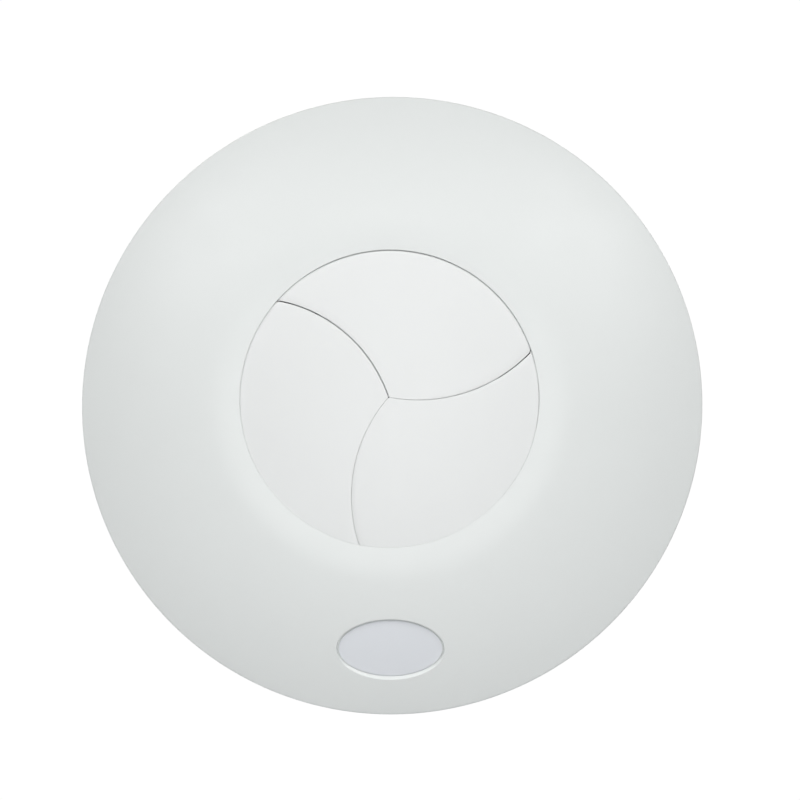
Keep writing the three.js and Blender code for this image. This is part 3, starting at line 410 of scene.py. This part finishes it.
# Cover
def arc_height(r, r0, r1, s0, s1, top):
    """Height and slope at r, on an arc that falls from top at r0 and goes from slope s0 to s1."""
    radius = (r1 - r0) / (math.sin(s1) - math.sin(s0))
    slope = math.asin(math.sin(s0) + (r - r0) / radius)
    return top - radius * (math.cos(s0) - math.cos(slope)), slope


def dome(r):
    """Height and slope of the cover's outer face at a radius."""
    lip, middle, rim = ARC_SLOPES
    if r <= LIP_R:
        return LIP_TOP - (r - OPENING_R) * math.tan(lip), lip
    at_lip = LIP_TOP - (LIP_R - OPENING_R) * math.tan(lip)
    if r <= SHOULDER_R:
        return arc_height(r, LIP_R, SHOULDER_R, lip, middle, at_lip)
    at_shoulder = arc_height(SHOULDER_R, LIP_R, SHOULDER_R, lip, middle, at_lip)[0]
    return arc_height(min(r, COVER_R), SHOULDER_R, COVER_R, middle, rim, at_shoulder)


def spaced(first, last, count):
    return [first + (last - first) * i / count for i in range(count + 1)]


# The patch of the outer face that is cut out for the badge's recess, and how finely it is cut
PATCH_R = (97.0, 135.0)
PATCH_CELLS = 18
PATCH_HALF_TURN = 17
COVER_SEGMENTS = 360
LIP_CELLS, UPPER_CELLS, LOWER_CELLS, INNER_CELLS = 8, 5, 6, 24
RIM_MARGIN = 1.2
INNER_MARGINS = (1, 3)

# The cover's rim and skirt, and the radii of its rounded edges
RIM_DRAFT = 0.35
RIM_DROP = 2.0
INNER_RIM_DROP = 3.6
LIP_ROUNDS = (0.12, 0.2)
RIM_ROUND = 0.9
SKIRT_ROUND = 0.6
INNER_RIM_ROUND = 1.5


def outer_radii():
    return (
        spaced(LIP_R, SHOULDER_R, LIP_CELLS)[1:-1]
        + spaced(SHOULDER_R, PATCH_R[0], UPPER_CELLS)[:-1]
        + spaced(*PATCH_R, PATCH_CELLS)
        + spaced(PATCH_R[1], COVER_R - RIM_MARGIN, LOWER_CELLS)[1:]
    )


def cover_profile():
    """The cover's (radius, z) outline, anticlockwise: the inner face, the skirt, the outer face."""
    outer = [(r, dome(r)[0]) for r in [LIP_R] + outer_radii()]
    inner = []
    for r in spaced(LIP_R + INNER_MARGINS[0], COVER_R - INNER_MARGINS[1], INNER_CELLS):
        height, slope = dome(r)
        inner.append((r - WALL * math.sin(slope), height - WALL * math.cos(slope)))
    rim = dome(COVER_R)[0]
    lip = [(OPENING_R, LIP_TOP - LIP_EDGE), (OPENING_R, LIP_TOP)]
    head = filleted([inner[0], *lip, outer[0]], {1: LIP_ROUNDS[0], 2: LIP_ROUNDS[1]})[1:-1]
    tail = filleted(
        [
            outer[-1],
            (COVER_R, rim),
            (COVER_R - RIM_DRAFT, rim - RIM_DROP),
            (SKIRT_R, SKIRT_Z),
            (SKIRT_R - WALL, SKIRT_Z),
            (COVER_R - WALL - 1, rim - INNER_RIM_DROP),
            inner[-1],
        ],
        {1: RIM_ROUND, 3: SKIRT_ROUND, 4: SKIRT_ROUND, 5: INNER_RIM_ROUND},
    )[1:-1]
    return inner + (head + outer + tail)[::-1]


def badge_frame():
    height = dome(-BADGE_Y)[0]
    origin = Vector((0, BADGE_Y, height))
    along = Vector((0, math.cos(BADGE_TILT), math.sin(BADGE_TILT)))
    normal = Vector((0, -math.sin(BADGE_TILT), math.cos(BADGE_TILT)))
    return origin, along, normal


def badge_point(u, v, w):
    origin, along, normal = badge_frame()
    p = origin + Vector((u, 0, 0)) + along * v + normal * w
    return tuple(p)


DOME_TRIES = 12


def dome_level(u, v):
    """How far along the badge's normal the dome lies at a place in the badge plane."""
    w = 0.0
    for _ in range(DOME_TRIES):
        x, y, z = badge_point(u, v, w)
        w += (dome(math.hypot(x, y))[0] - z) * math.cos(BADGE_TILT)
    return w


def oval_place(phi, inset):
    """A place inset millimetres inside the badge's oval, in the badge plane."""
    a, b = BADGE_HALF
    u, v = a * math.cos(phi), b * math.sin(phi)
    out = Vector((math.cos(phi) / a, math.sin(phi) / b)).normalized()
    return u - inset * out.x, v - inset * out.y


# The recess, from the dome inwards: how far inside the oval, and how deep below the dome. Its wall
# is undercut along the top, and slopes along the bottom. Shares place the rings on its floor, and
# the rings that bridge the dome around it
RECESS_STEPS = ((-0.5, 0.0), (0.0, 0.03), (0.15, 0.18), (1.05, 1.15), (1.2, 1.35), (1.2, 2.8))
RECESS_FLOOR = 3.0
WALL_SLOPE = (0.45, 0.75)
FLOOR_SHARES = (0.9, 0.6, 0.3)
BRIDGE_SHARES = (0.12, 0.26, 0.4, 0.54, 0.68, 0.8, 0.9)

# The badge's plate: its gap to the recess, its bottom from the badge plane, its top from the dome
PLATE_INSET = (1.18, 0.33)
PLATE_BOTTOM = 0.3 - BADGE_DEPTH
PLATE_TOP = -1.15
PLATE_ROUND = 0.25
PLATE_ROWS = 6
PLATE_SEGMENTS = 96


def wall_inset(phi, inset):
    return inset * (WALL_SLOPE[0] - WALL_SLOPE[1] * math.sin(phi)) if inset > 0 else inset


def plate_inset(phi, inset):
    return inset + PLATE_INSET[0] - PLATE_INSET[1] * math.sin(phi)


def recess_rings(phis):
    """The recess's wall and floor, as rings of points from the dome inwards."""
    rings = []
    for inset, depth in RECESS_STEPS:
        ring = []
        for phi in phis:
            u, v = oval_place(phi, wall_inset(phi, inset))
            edge = dome_level(*oval_place(phi, 0.0))
            level = dome_level(u, v) if depth == 0.0 else edge
            ring.append(badge_point(u, v, max(level - depth, -RECESS_FLOOR)))
        rings.append(ring)
    for share in FLOOR_SHARES:
        ring = []
        for phi in phis:
            u, v = oval_place(phi, wall_inset(phi, RECESS_STEPS[-1][0]))
            ring.append(badge_point(u * share, v * share, -RECESS_FLOOR))
        rings.append(ring)
    return rings


def oval_angle(point):
    """Which way a point lies from the middle of the badge, as the angle of its oval."""
    origin, along, _ = badge_frame()
    arm = Vector(point) - origin
    return math.atan2(arm.dot(along) / BADGE_HALF[1], arm.x / BADGE_HALF[0])


def patch_border(first, last, start, end):
    """Once around the patch, as (segment, place along the profile)."""
    border = [(i, first) for i in range(start, end)]
    border += [(end, j) for j in range(first, last)]
    border += [(i, last) for i in range(end, start, -1)]
    return border + [(start, j) for j in range(last, first, -1)]


def bridge_rings(border, rim):
    """Rings on the dome, from the border of the patch to the rim of the recess."""
    rings = []
    for share in BRIDGE_SHARES:
        ring = []
        for here, there in zip(border, rim):
            x = here[0] + (there[0] - here[0]) * share
            y = here[1] + (there[1] - here[1]) * share
            ring.append((x, y, dome(math.hypot(x, y))[0]))
        rings.append(ring)
    return rings


def cover_part():
    """The cover's shell, with a patch of its outer face cut out and the badge's recess sewn in."""
    profile = cover_profile()
    columns = len(profile)
    points, faces = lathed(profile, COVER_SEGMENTS)
    last, first = [profile.index((r, dome(r)[0])) for r in PATCH_R]
    start = 270 * COVER_SEGMENTS // 360 - PATCH_HALF_TURN
    end = start + 2 * PATCH_HALF_TURN
    kept = []
    for i in range(COVER_SEGMENTS):
        for j in range(columns):
            if not (start <= i < end and first <= j < last):
                kept.append(faces[i * columns + j])
    previous = [i * columns + j for i, j in patch_border(first, last, start, end)]
    count = len(previous)
    border = [points[k] for k in previous]
    rings = recess_rings([oval_angle(point) for point in border])
    for ring in bridge_rings(border, rings[0]) + rings:
        current = list(range(len(points), len(points) + count))
        points += ring
        for i in range(count):
            j = (i + 1) % count
            kept.append((previous[i], previous[j], current[j], current[i]))
        previous = current
    points.append(badge_point(0, 0, -RECESS_FLOOR))
    for i in range(count):
        kept.append((previous[i], previous[(i + 1) % count], len(points) - 1))
    return points, kept


def badge_part():
    """The badge's oval plate: a flat bottom, a rounded edge and a top that follows the dome."""
    points = []

    def add_ring(inset, level, share=1.0, flat=False):
        for i in range(PLATE_SEGMENTS):
            phi = 2 * math.pi * i / PLATE_SEGMENTS
            u, v = oval_place(phi, plate_inset(phi, inset))
            u, v = u * share, v * share
            points.append(badge_point(u, v, level if flat else dome_level(u, v) + level))

    add_ring(0, PLATE_BOTTOM, 0.5, True)
    add_ring(0, PLATE_BOTTOM, 1.0, True)
    for t in (0, 0.33, 0.66, 1):
        across, down = math.sin(t * math.pi / 2), math.cos(t * math.pi / 2)
        add_ring(PLATE_ROUND * (1 - down), PLATE_TOP - PLATE_ROUND * (1 - across))
    for i in range(PLATE_ROWS):
        add_ring(PLATE_ROUND, PLATE_TOP, 0.95 * (1 - i / PLATE_ROWS) + 0.02)
    return stacked(points, PLATE_SEGMENTS)


# What is behind the cover: the pegs, and the thicker oval behind the badge's recess, as rings of
# (how far inside the oval, height above the badge plane)
AXIS_R = 0.01
PEG_BOTTOM = 8
PEG_SINK = 1.4
PEG_ROUND = 0.6
PEG_SEGMENTS = 24
BOSS_RINGS = ((-2.0, -3.3), (-2.0, -3.9), (-1.6, -4.2))
BOSS_SEGMENTS = 72


def peg_part(angle):
    top = dome(PEG_RING_R + PEG_R)[0] - PEG_SINK
    x, y = polar(PEG_RING_R, angle)
    profile = [(AXIS_R, PEG_BOTTOM), (PEG_R, PEG_BOTTOM), (PEG_R, top), (AXIS_R, top)]
    return lathed(filleted(profile, {1: PEG_ROUND}), PEG_SEGMENTS, x, y)


def boss_part():
    points = []
    for inset, w in BOSS_RINGS:
        for i in range(BOSS_SEGMENTS):
            u, v = oval_place(2 * math.pi * i / BOSS_SEGMENTS, inset)
            points.append(badge_point(u, v, w))
    return stacked(points, BOSS_SEGMENTS, clockwise=True)


# Iris leaves. A seam's half width, in millimetres, at the centre and at the lip, and the radius of
# its edges. Both ease in from nothing at the centre
SEAMS = {0: (0.05, 0.27), 1: (0.29, 0.29), 2: (0.06, 0.07)}
SEAM_ROUND = {0: 0.10, 1: 0.05, 2: 0.10}
SEAM_EASE_R = 1.2
ROUND_EASE_R = 2

# The lap under a seam: how far it reaches within and beyond the radii where it fades, how deep it
# lies below the sphere, and how thick it is
SEAM_LAPS = {0: (1.4, 0.0), 1: (2.6, 0.0), 2: (1.4, 1.4)}
LAP_FADE = (42.0, 52.0)
LAP_DEPTHS = {0: 1.1, 1: 2.3, 2: 1.1}
LAP_T = 0.25

# The step around a leaf's rim, just inside the lip: its depth, its width as a mean and a swing
# around the rim, and the direction where it is widest
STEP_DEPTH = 0.7
STEP_WIDTH = (-0.06, 0.48)
STEP_HEADING = 62.0


def seam_half(seam, r):
    near, far = SEAMS[seam]
    return (near + (far - near) * min(1, r / IRIS_R)) * min(1, r / SEAM_EASE_R)


def seam_lap(seam, r):
    near, far = SEAM_LAPS[seam]
    share = (r - LAP_FADE[0]) / (LAP_FADE[1] - LAP_FADE[0])
    return min(near + (far - near) * max(0, min(1, share)), 0.5 * r)


def step_radius(degrees):
    """Where the leaves step down to go under the lip."""
    width = STEP_WIDTH[0] + STEP_WIDTH[1] * math.cos((degrees - STEP_HEADING) * DEG)
    return OPENING_R - width


def edge_angle(r, offset):
    """How far a seam's arc has turned at radius r. The arc is part of a circle as large as the
    iris, grown by offset, whose centre is on the iris circle."""
    reach = IRIS_R + offset
    cosine = (r * r + IRIS_R * IRIS_R - reach * reach) / (2 * r * IRIS_R)
    return math.acos(max(-1, min(1, cosine))) / DEG


def convex_edge(r, seam, inset):
    return SEAM_ANGLE - LEAF_TURN / 2 - edge_angle(r, -seam_half(seam, r) - inset)


def concave_edge(r, seam, inset):
    return SEAM_ANGLE + LEAF_TURN / 2 - edge_angle(r, seam_half(seam, r) + inset)


def on_sphere(r, degrees, sphere):
    x, y = polar(r, degrees)
    return x, y, SPHERE_Z + math.sqrt(sphere * sphere - r * r)


LEAF_COLUMNS = 40
EDGE_ROUND = ((0.0, 1.0), (0.3, 0.3), (1.0, 0.0))
CENTRE_ROWS = [0.4, 0.7, 1.2, 2, 3, 4.5, 6.5]
EVEN_ROWS = (9, IRIS_R - 2, 30)
STEP_ROWS = [(IRIS_R, 0, 0), (IRIS_R, 0.06, 0.05), (IRIS_R, 0.1, STEP_DEPTH)]
HIDDEN_ROWS = (71.5, 72.5, LEAF_EDGE_R)


def leaf_rows():
    """The rows of a leaf: radius, whether it follows the step around the rim, and the drop."""
    rows = [(r, None, 0) for r in CENTRE_ROWS + spaced(*EVEN_ROWS)]
    return rows + STEP_ROWS + [(r, None, STEP_DEPTH) for r in HIDDEN_ROWS]


def leaf_section(r, index):
    """The leaf's outline across at a radius: an angle, a sphere, and whether it is the top face."""
    convex_seam, concave_seam = index, (index + 1) % 3
    skin, lap, bottom = SPHERE - LEAF_SKIN, SPHERE - LAP_DEPTHS[convex_seam], SPHERE - LEAF_T
    ease = min(1, r / ROUND_EASE_R)
    section = []
    for inset, drop in EDGE_ROUND:
        radius = SEAM_ROUND[convex_seam] * ease
        section.append((convex_edge(r, convex_seam, inset * radius), SPHERE - drop * radius, True))
    low = section[-1][0]
    right = []
    for inset, drop in EDGE_ROUND:
        radius = SEAM_ROUND[concave_seam] * ease
        right.append((concave_edge(r, concave_seam, inset * radius), SPHERE - drop * radius, True))
    high = right[-1][0]
    for k in range(1, LEAF_COLUMNS):
        section.append((low + (high - low) * k / LEAF_COLUMNS, SPHERE, True))
    section += right[::-1]
    back_cut, reach = seam_lap(concave_seam, r), seam_lap(convex_seam, r)
    section.append((concave_edge(r, concave_seam, 0), skin, False))
    section.append((concave_edge(r, concave_seam, back_cut), skin, False))
    section.append((concave_edge(r, concave_seam, back_cut), bottom, False))
    section.append((convex_edge(r, convex_seam, 0), bottom, False))
    section.append((convex_edge(r, convex_seam, 0), min(bottom, lap - LAP_T), False))
    section.append((convex_edge(r, convex_seam, -reach), min(bottom, lap - LAP_T), False))
    section.append((convex_edge(r, convex_seam, -reach), lap, False))
    section.append((convex_edge(r, convex_seam, 0), lap, False))
    return section


def leaf_part(index):
    """A leaf between two seams, with a lap under its neighbour along its convex edge."""
    rows = leaf_rows()
    points = []
    for r, follow, drop in rows:
        for angle, sphere, top in leaf_section(r, index):
            turn = angle + LEAF_TURN * index
            place = r if follow is None else step_radius(turn) + follow
            points.append(on_sphere(place, turn, sphere - (drop if top else 0)))
    return stacked(points, len(points) // len(rows), clockwise=True)


# The ear that carries a leaf's pivot: its radius at the pivot and at its root, where the root is,
# and its rings, as (share of the outline, depth). The stub below it holds the gear
EAR_RADII = (8.0, 6.3)
EAR_ROOT = (IRIS_R - 6, PIVOT_ANGLE - 6)
EAR_STEPS = 16
EAR_RINGS = (
    (0.2, 0.1),
    (0.6, 0.1),
    (0.97, 0.1),
    (1.0, 0.3),
    (1.0, LEAF_T - 0.3),
    (0.97, LEAF_T - 0.1),
    (0.4, LEAF_T - 0.1),
)
STUB_RADII = (1.5, 3)
STUB_TOP = SPHERE - 1.2
STUB_ROUND = 0.4
STUB_SEGMENTS = 32


def ear_part(index):
    """The rounded ear that carries the leaf's pivot, under the cover."""
    pivot, root = polar(PIVOT_R, PIVOT_ANGLE), polar(*EAR_ROOT)
    way = math.atan2(pivot[1] - root[1], pivot[0] - root[0])
    outline = []
    for centre, radius, quarter in ((pivot, EAR_RADII[0], -0.5), (root, EAR_RADII[1], 0.5)):
        for t in range(EAR_STEPS + 1):
            outline.append((centre, radius, way + math.pi * (t / EAR_STEPS + quarter)))
    middle = ((pivot[0] + root[0]) / 2, (pivot[1] + root[1]) / 2)
    points = []
    for share, depth in EAR_RINGS:
        for centre, r, angle in outline:
            x = middle[0] + (centre[0] + r * math.cos(angle) - middle[0]) * share
            y = middle[1] + (centre[1] + r * math.sin(angle) - middle[1]) * share
            turn = math.atan2(y, x) / DEG + LEAF_TURN * index
            points.append(on_sphere(math.hypot(x, y), turn, SPHERE - depth))
    return stacked(points, len(outline), clockwise=True)


def on_pivot(part, index):
    """A part drawn about Z, moved to a leaf's pivot."""
    points, faces = part
    turn = (PIVOT_ANGLE + LEAF_TURN * index) * DEG
    moved = []
    for x, y, z in points:
        lean_x = x * math.cos(PIVOT_TILT) + z * math.sin(PIVOT_TILT)
        lean_z = z * math.cos(PIVOT_TILT) - x * math.sin(PIVOT_TILT)
        moved.append((
            lean_x * math.cos(turn) - y * math.sin(turn),
            lean_x * math.sin(turn) + y * math.cos(turn),
            lean_z + SPHERE_Z,
        ))
    return moved, faces


def stub_part(index):
    """The short tube under a leaf's ear, around its pivot."""
    bore, r = STUB_RADII
    profile = [(bore, STUB_BOTTOM), (r, STUB_BOTTOM), (r, STUB_TOP), (bore, STUB_TOP)]
    return on_pivot(lathed(filleted(profile, {1: STUB_ROUND}), STUB_SEGMENTS), index)


# Impeller
HUB_R = 18.5
HUB_Z = (-42.0, -18.0)
HUB_WALL = 1.8
HUB_NOSE_R = 12
HUB_NOSE_DEPTHS = (4, 8)
HUB_CORE_R = 5
HUB_FLOOR = 2.4
HUB_FILLETS = {0: 0.3, 1: 3.0, 2: 4.0, 4: 0.5, 5: 0.5, 6: 3.0, 7: 2.0, 8: 0.8, 9: 0.4, 10: 0.3}
HUB_SEGMENTS = 96
HUB_SHARP_ANGLE = 45
SHAFT_CLEAR_R = 1.9
TIP_R = 46.4
BLADES = 7
CHORD = 27.0
CAMBER = 3.0
BLADE_T = 1.7
BLADE_EDGE = 0.16
BLADE_BELLY = 1.2
BLADE_SINK = 1.0
TIP_NARROWING = 0.1
BLADE_PITCH = (52.0, 30.0)
BLADE_ROWS = 16
BLADE_STATIONS = 14


def hub_part():
    low, high = HUB_Z
    shoulder, side = [low + depth for depth in HUB_NOSE_DEPTHS]
    inner_r, floor, core_top = HUB_R - HUB_WALL, low + HUB_FLOOR, high - 2
    profile = [
        (SHAFT_CLEAR_R, low),
        (HUB_NOSE_R, low),
        (HUB_R - 1, shoulder),
        (HUB_R, side),
        (HUB_R, high),
        (inner_r, high),
        (inner_r, side),
        (HUB_NOSE_R - 1, floor),
        (HUB_CORE_R, floor),
        (HUB_CORE_R, core_top),
        (SHAFT_CLEAR_R, core_top),
    ]
    return lathed(filleted(profile, HUB_FILLETS, 5), HUB_SEGMENTS)


def blade_section():
    """Once around a blade's section: a place along the chord and a height above it."""
    section = []
    turns = spaced(0, math.pi, BLADE_STATIONS)
    stations = [0.5 - 0.5 * math.cos(turn) for turn in turns]
    for side, order in ((1, stations), (-1, stations[::-1][1:-1])):
        for t in order:
            rounding = math.sqrt(max(0, 1 - (2 * t - 1) ** 8))
            half = BLADE_T * (BLADE_EDGE + BLADE_BELLY * t * (1 - t)) * rounding
            section.append((t - 0.5, CAMBER * 4 * t * (1 - t) + side * half))
    return section


def blade_part(index):
    """A blade wrapped around the axis, from inside the hub's wall to a rounded tip."""
    section = blade_section()
    middle = (HUB_Z[0] + HUB_Z[1]) / 2
    points = []
    for row in range(BLADE_ROWS + 1):
        share = math.sin(math.pi / 2 * row / BLADE_ROWS)
        r = HUB_R - BLADE_SINK + (TIP_R - HUB_R + BLADE_SINK) * share
        pitch = (BLADE_PITCH[0] + (BLADE_PITCH[1] - BLADE_PITCH[0]) * share) * DEG
        chord = CHORD * (1 - TIP_NARROWING * share ** 12)
        for along, height in section:
            across = along * chord * math.cos(pitch) - height * math.sin(pitch)
            z = middle + along * chord * math.sin(pitch) + height * math.cos(pitch)
            x, y = polar(r, across / r / DEG + 360 * index / BLADES)
            points.append((x, y, z))
    return stacked(points, len(section))


# Smooth, softly bevelled edges for the CAD nodes that stay. Bevels are in millimetres, and the
# weld's reach is in metres
WELD_REACH = 0.000002
LEAD_LEVELS = 2
FLAT_ANGLE = 0.5
BEVEL_ANGLE = 40
NORMAL_WEIGHT = 80
CAD_BEVEL = 0.2
BEVELS = {"wall_gasket": 0.4, "iris_carrier": 0.0, "drive_ring": 0.0}
BEVELS.update({f"leaf_gear_{i}": 0.0 for i in (1, 2, 3)})


def edge_softener(angle):
    """Shading that is smooth except across edges steeper than this angle."""
    group = bpy.data.node_groups.new("smooth_by_angle", "GeometryNodeTree")
    group.interface.new_socket("Geometry", in_out="INPUT", socket_type="NodeSocketGeometry")
    group.interface.new_socket("Geometry", in_out="OUTPUT", socket_type="NodeSocketGeometry")
    source = group.nodes.new("NodeGroupInput")
    target = group.nodes.new("NodeGroupOutput")
    faces = group.nodes.new("GeometryNodeSetShadeSmooth")
    edges = group.nodes.new("GeometryNodeSetShadeSmooth")
    faces.domain = "FACE"
    edges.domain = "EDGE"
    edges.inputs["Shade Smooth"].default_value = False
    bend = group.nodes.new("GeometryNodeInputMeshEdgeAngle")
    steep = group.nodes.new("FunctionNodeCompare")
    steep.data_type = "FLOAT"
    steep.operation = "GREATER_THAN"
    steep.inputs["B"].default_value = angle
    group.links.new(bend.outputs["Unsigned Angle"], steep.inputs["A"])
    group.links.new(steep.outputs["Result"], edges.inputs["Selection"])
    group.links.new(source.outputs["Geometry"], faces.inputs["Geometry"])
    group.links.new(faces.outputs["Geometry"], edges.inputs["Geometry"])
    group.links.new(edges.outputs["Geometry"], target.inputs["Geometry"])
    return group


def soften(obj, name, group, width):
    """Smooths a lead into a round cord, and gives any other node soft edges of this width."""
    weld = obj.modifiers.new("weld", "WELD")
    weld.merge_threshold = WELD_REACH
    if name.endswith("_lead"):
        round_off = obj.modifiers.new("round_off", "SUBSURF")
        round_off.levels = LEAD_LEVELS
        round_off.render_levels = LEAD_LEVELS
        return
    if width:
        flat = obj.modifiers.new("flat", "DECIMATE")
        flat.decimate_type = "DISSOLVE"
        flat.angle_limit = FLAT_ANGLE * DEG
        bevel = obj.modifiers.new("bevel", "BEVEL")
        bevel.width = width * MM
        bevel.segments = 2
        bevel.limit_method = "ANGLE"
        bevel.angle_limit = BEVEL_ANGLE * DEG
        bevel.use_clamp_overlap = True
    smooth = obj.modifiers.new("smooth", "NODES")
    smooth.node_group = group
    flatten = obj.modifiers.new("flatten", "WEIGHTED_NORMAL")
    flatten.weight = NORMAL_WEIGHT
    flatten.keep_sharp = True


# Studio. Each light: azimuth and elevation seen from the object's front, and power in watts
LIGHT_DISTANCE = 2.8
LIGHT_SIZE = 1.4
LIGHTS = {
    "front": (0, 0, 16.6),
    "front_high": (0, 32, 12.4),
    "left_high": (-40, 35, 22.6),
    "right_high": (40, 35, 25.2),
    "behind_left": (-145, 35, 17.0),
    "behind_right": (140, 25, 17.0),
    "side_left": (-112, 5, 8.0),
    "side_right": (112, 5, 8.0),
}
WORLD_FILL = 0.07
BACKDROP = 1.02


def area_light(name, azimuth, elevation, power):
    data = bpy.data.lights.new(name, "AREA")
    data.shape = "DISK"
    data.size = LIGHT_SIZE
    data.energy = power
    way = heading(azimuth, elevation)
    light = bpy.data.objects.new(name, data)
    light.location = way * LIGHT_DISTANCE
    light.rotation_mode = "QUATERNION"
    light.rotation_quaternion = (-way).to_track_quat("-Z", "Y")
    light.visible_camera = False
    bpy.context.scene.collection.objects.link(light)


def add_world():
    """A white studio: pure white behind the object, and a weak even fill as its light."""
    studio = bpy.data.worlds.new("studio")
    bpy.context.scene.world = studio
    studio.use_nodes = True
    tree = studio.node_tree
    tree.nodes.clear()
    output = tree.nodes.new("ShaderNodeOutputWorld")
    backdrop = tree.nodes.new("ShaderNodeBackground")
    backdrop.inputs["Color"].default_value = (1, 1, 1, 1)
    backdrop.inputs["Strength"].default_value = BACKDROP
    fill = tree.nodes.new("ShaderNodeBackground")
    fill.inputs["Color"].default_value = (1, 1, 1, 1)
    fill.inputs["Strength"].default_value = WORLD_FILL
    rays = tree.nodes.new("ShaderNodeLightPath")
    mix = tree.nodes.new("ShaderNodeMixShader")
    tree.links.new(rays.outputs["Is Camera Ray"], mix.inputs["Fac"])
    tree.links.new(fill.outputs["Background"], mix.inputs[1])
    tree.links.new(backdrop.outputs["Background"], mix.inputs[2])
    tree.links.new(mix.outputs["Shader"], output.inputs["Surface"])


def add_studio():
    add_world()
    for name, (azimuth, elevation, power) in LIGHTS.items():
        area_light(name, azimuth, elevation, power)
    bpy.context.scene.view_settings.view_transform = "Standard"


FLOOR_Z = -0.34
FLOOR_R = 1.3
FLOOR_SEGMENTS = 96


def add_floor(material):
    """A pale, round studio floor."""
    ring = [polar(FLOOR_R, 360 * i / FLOOR_SEGMENTS) for i in range(FLOOR_SEGMENTS)]
    mesh = bpy.data.meshes.new("floor")
    points = [(x, y, FLOOR_Z) for x, y in ring]
    mesh.from_pydata(points, [], [tuple(range(FLOOR_SEGMENTS))])
    mesh.materials.append(material)
    floor = bpy.data.objects.new("floor", mesh)
    bpy.context.scene.collection.objects.link(floor)


def dress_cad(finish):
    """Gives each CAD node its finish and soft edges."""
    group = edge_softener(SHARP_ANGLE * DEG)
    node_slots = {part["node"]: part["material_slot"] for part in frame["record"]["subparts"]}
    for name, obj in frame["nodes"].items():
        obj.data.materials.clear()
        obj.data.materials.append(finish[node_slots[name]])
        soften(obj, name, group, BEVELS.get(name, CAD_BEVEL))


def build():
    finish = materials()
    dress_cad(finish)
    add_floor(plastic("floor_paint", (0.74, 0.745, 0.75), 0.6, 0.5, 0.01))
    add_studio()
    cover = merged(cover_part(), boss_part(), *[peg_part(angle) for angle in PEG_ANGLES])
    piece("cover_shell", cover, "cover_body", "white_plastic", finish, ["cover"])
    piece("badge_plate", badge_part(), "cover_body", "badge_plastic", finish, ["badge"])
    impeller = merged(hub_part(), *[blade_part(i) for i in range(BLADES)])
    sharp = HUB_SHARP_ANGLE
    piece("impeller_moulding", impeller, "fan_body", "grey_plastic", finish, ["impeller"], sharp)
    for i in range(3):
        name, body = f"leaf_{i + 1}", f"leaf_body_{i + 1}"
        part = merged(leaf_part(i), ear_part(i), stub_part(i))
        piece(f"iris_{name}", part, body, "leaf_plastic", finish, [name])


add_camera()
build()
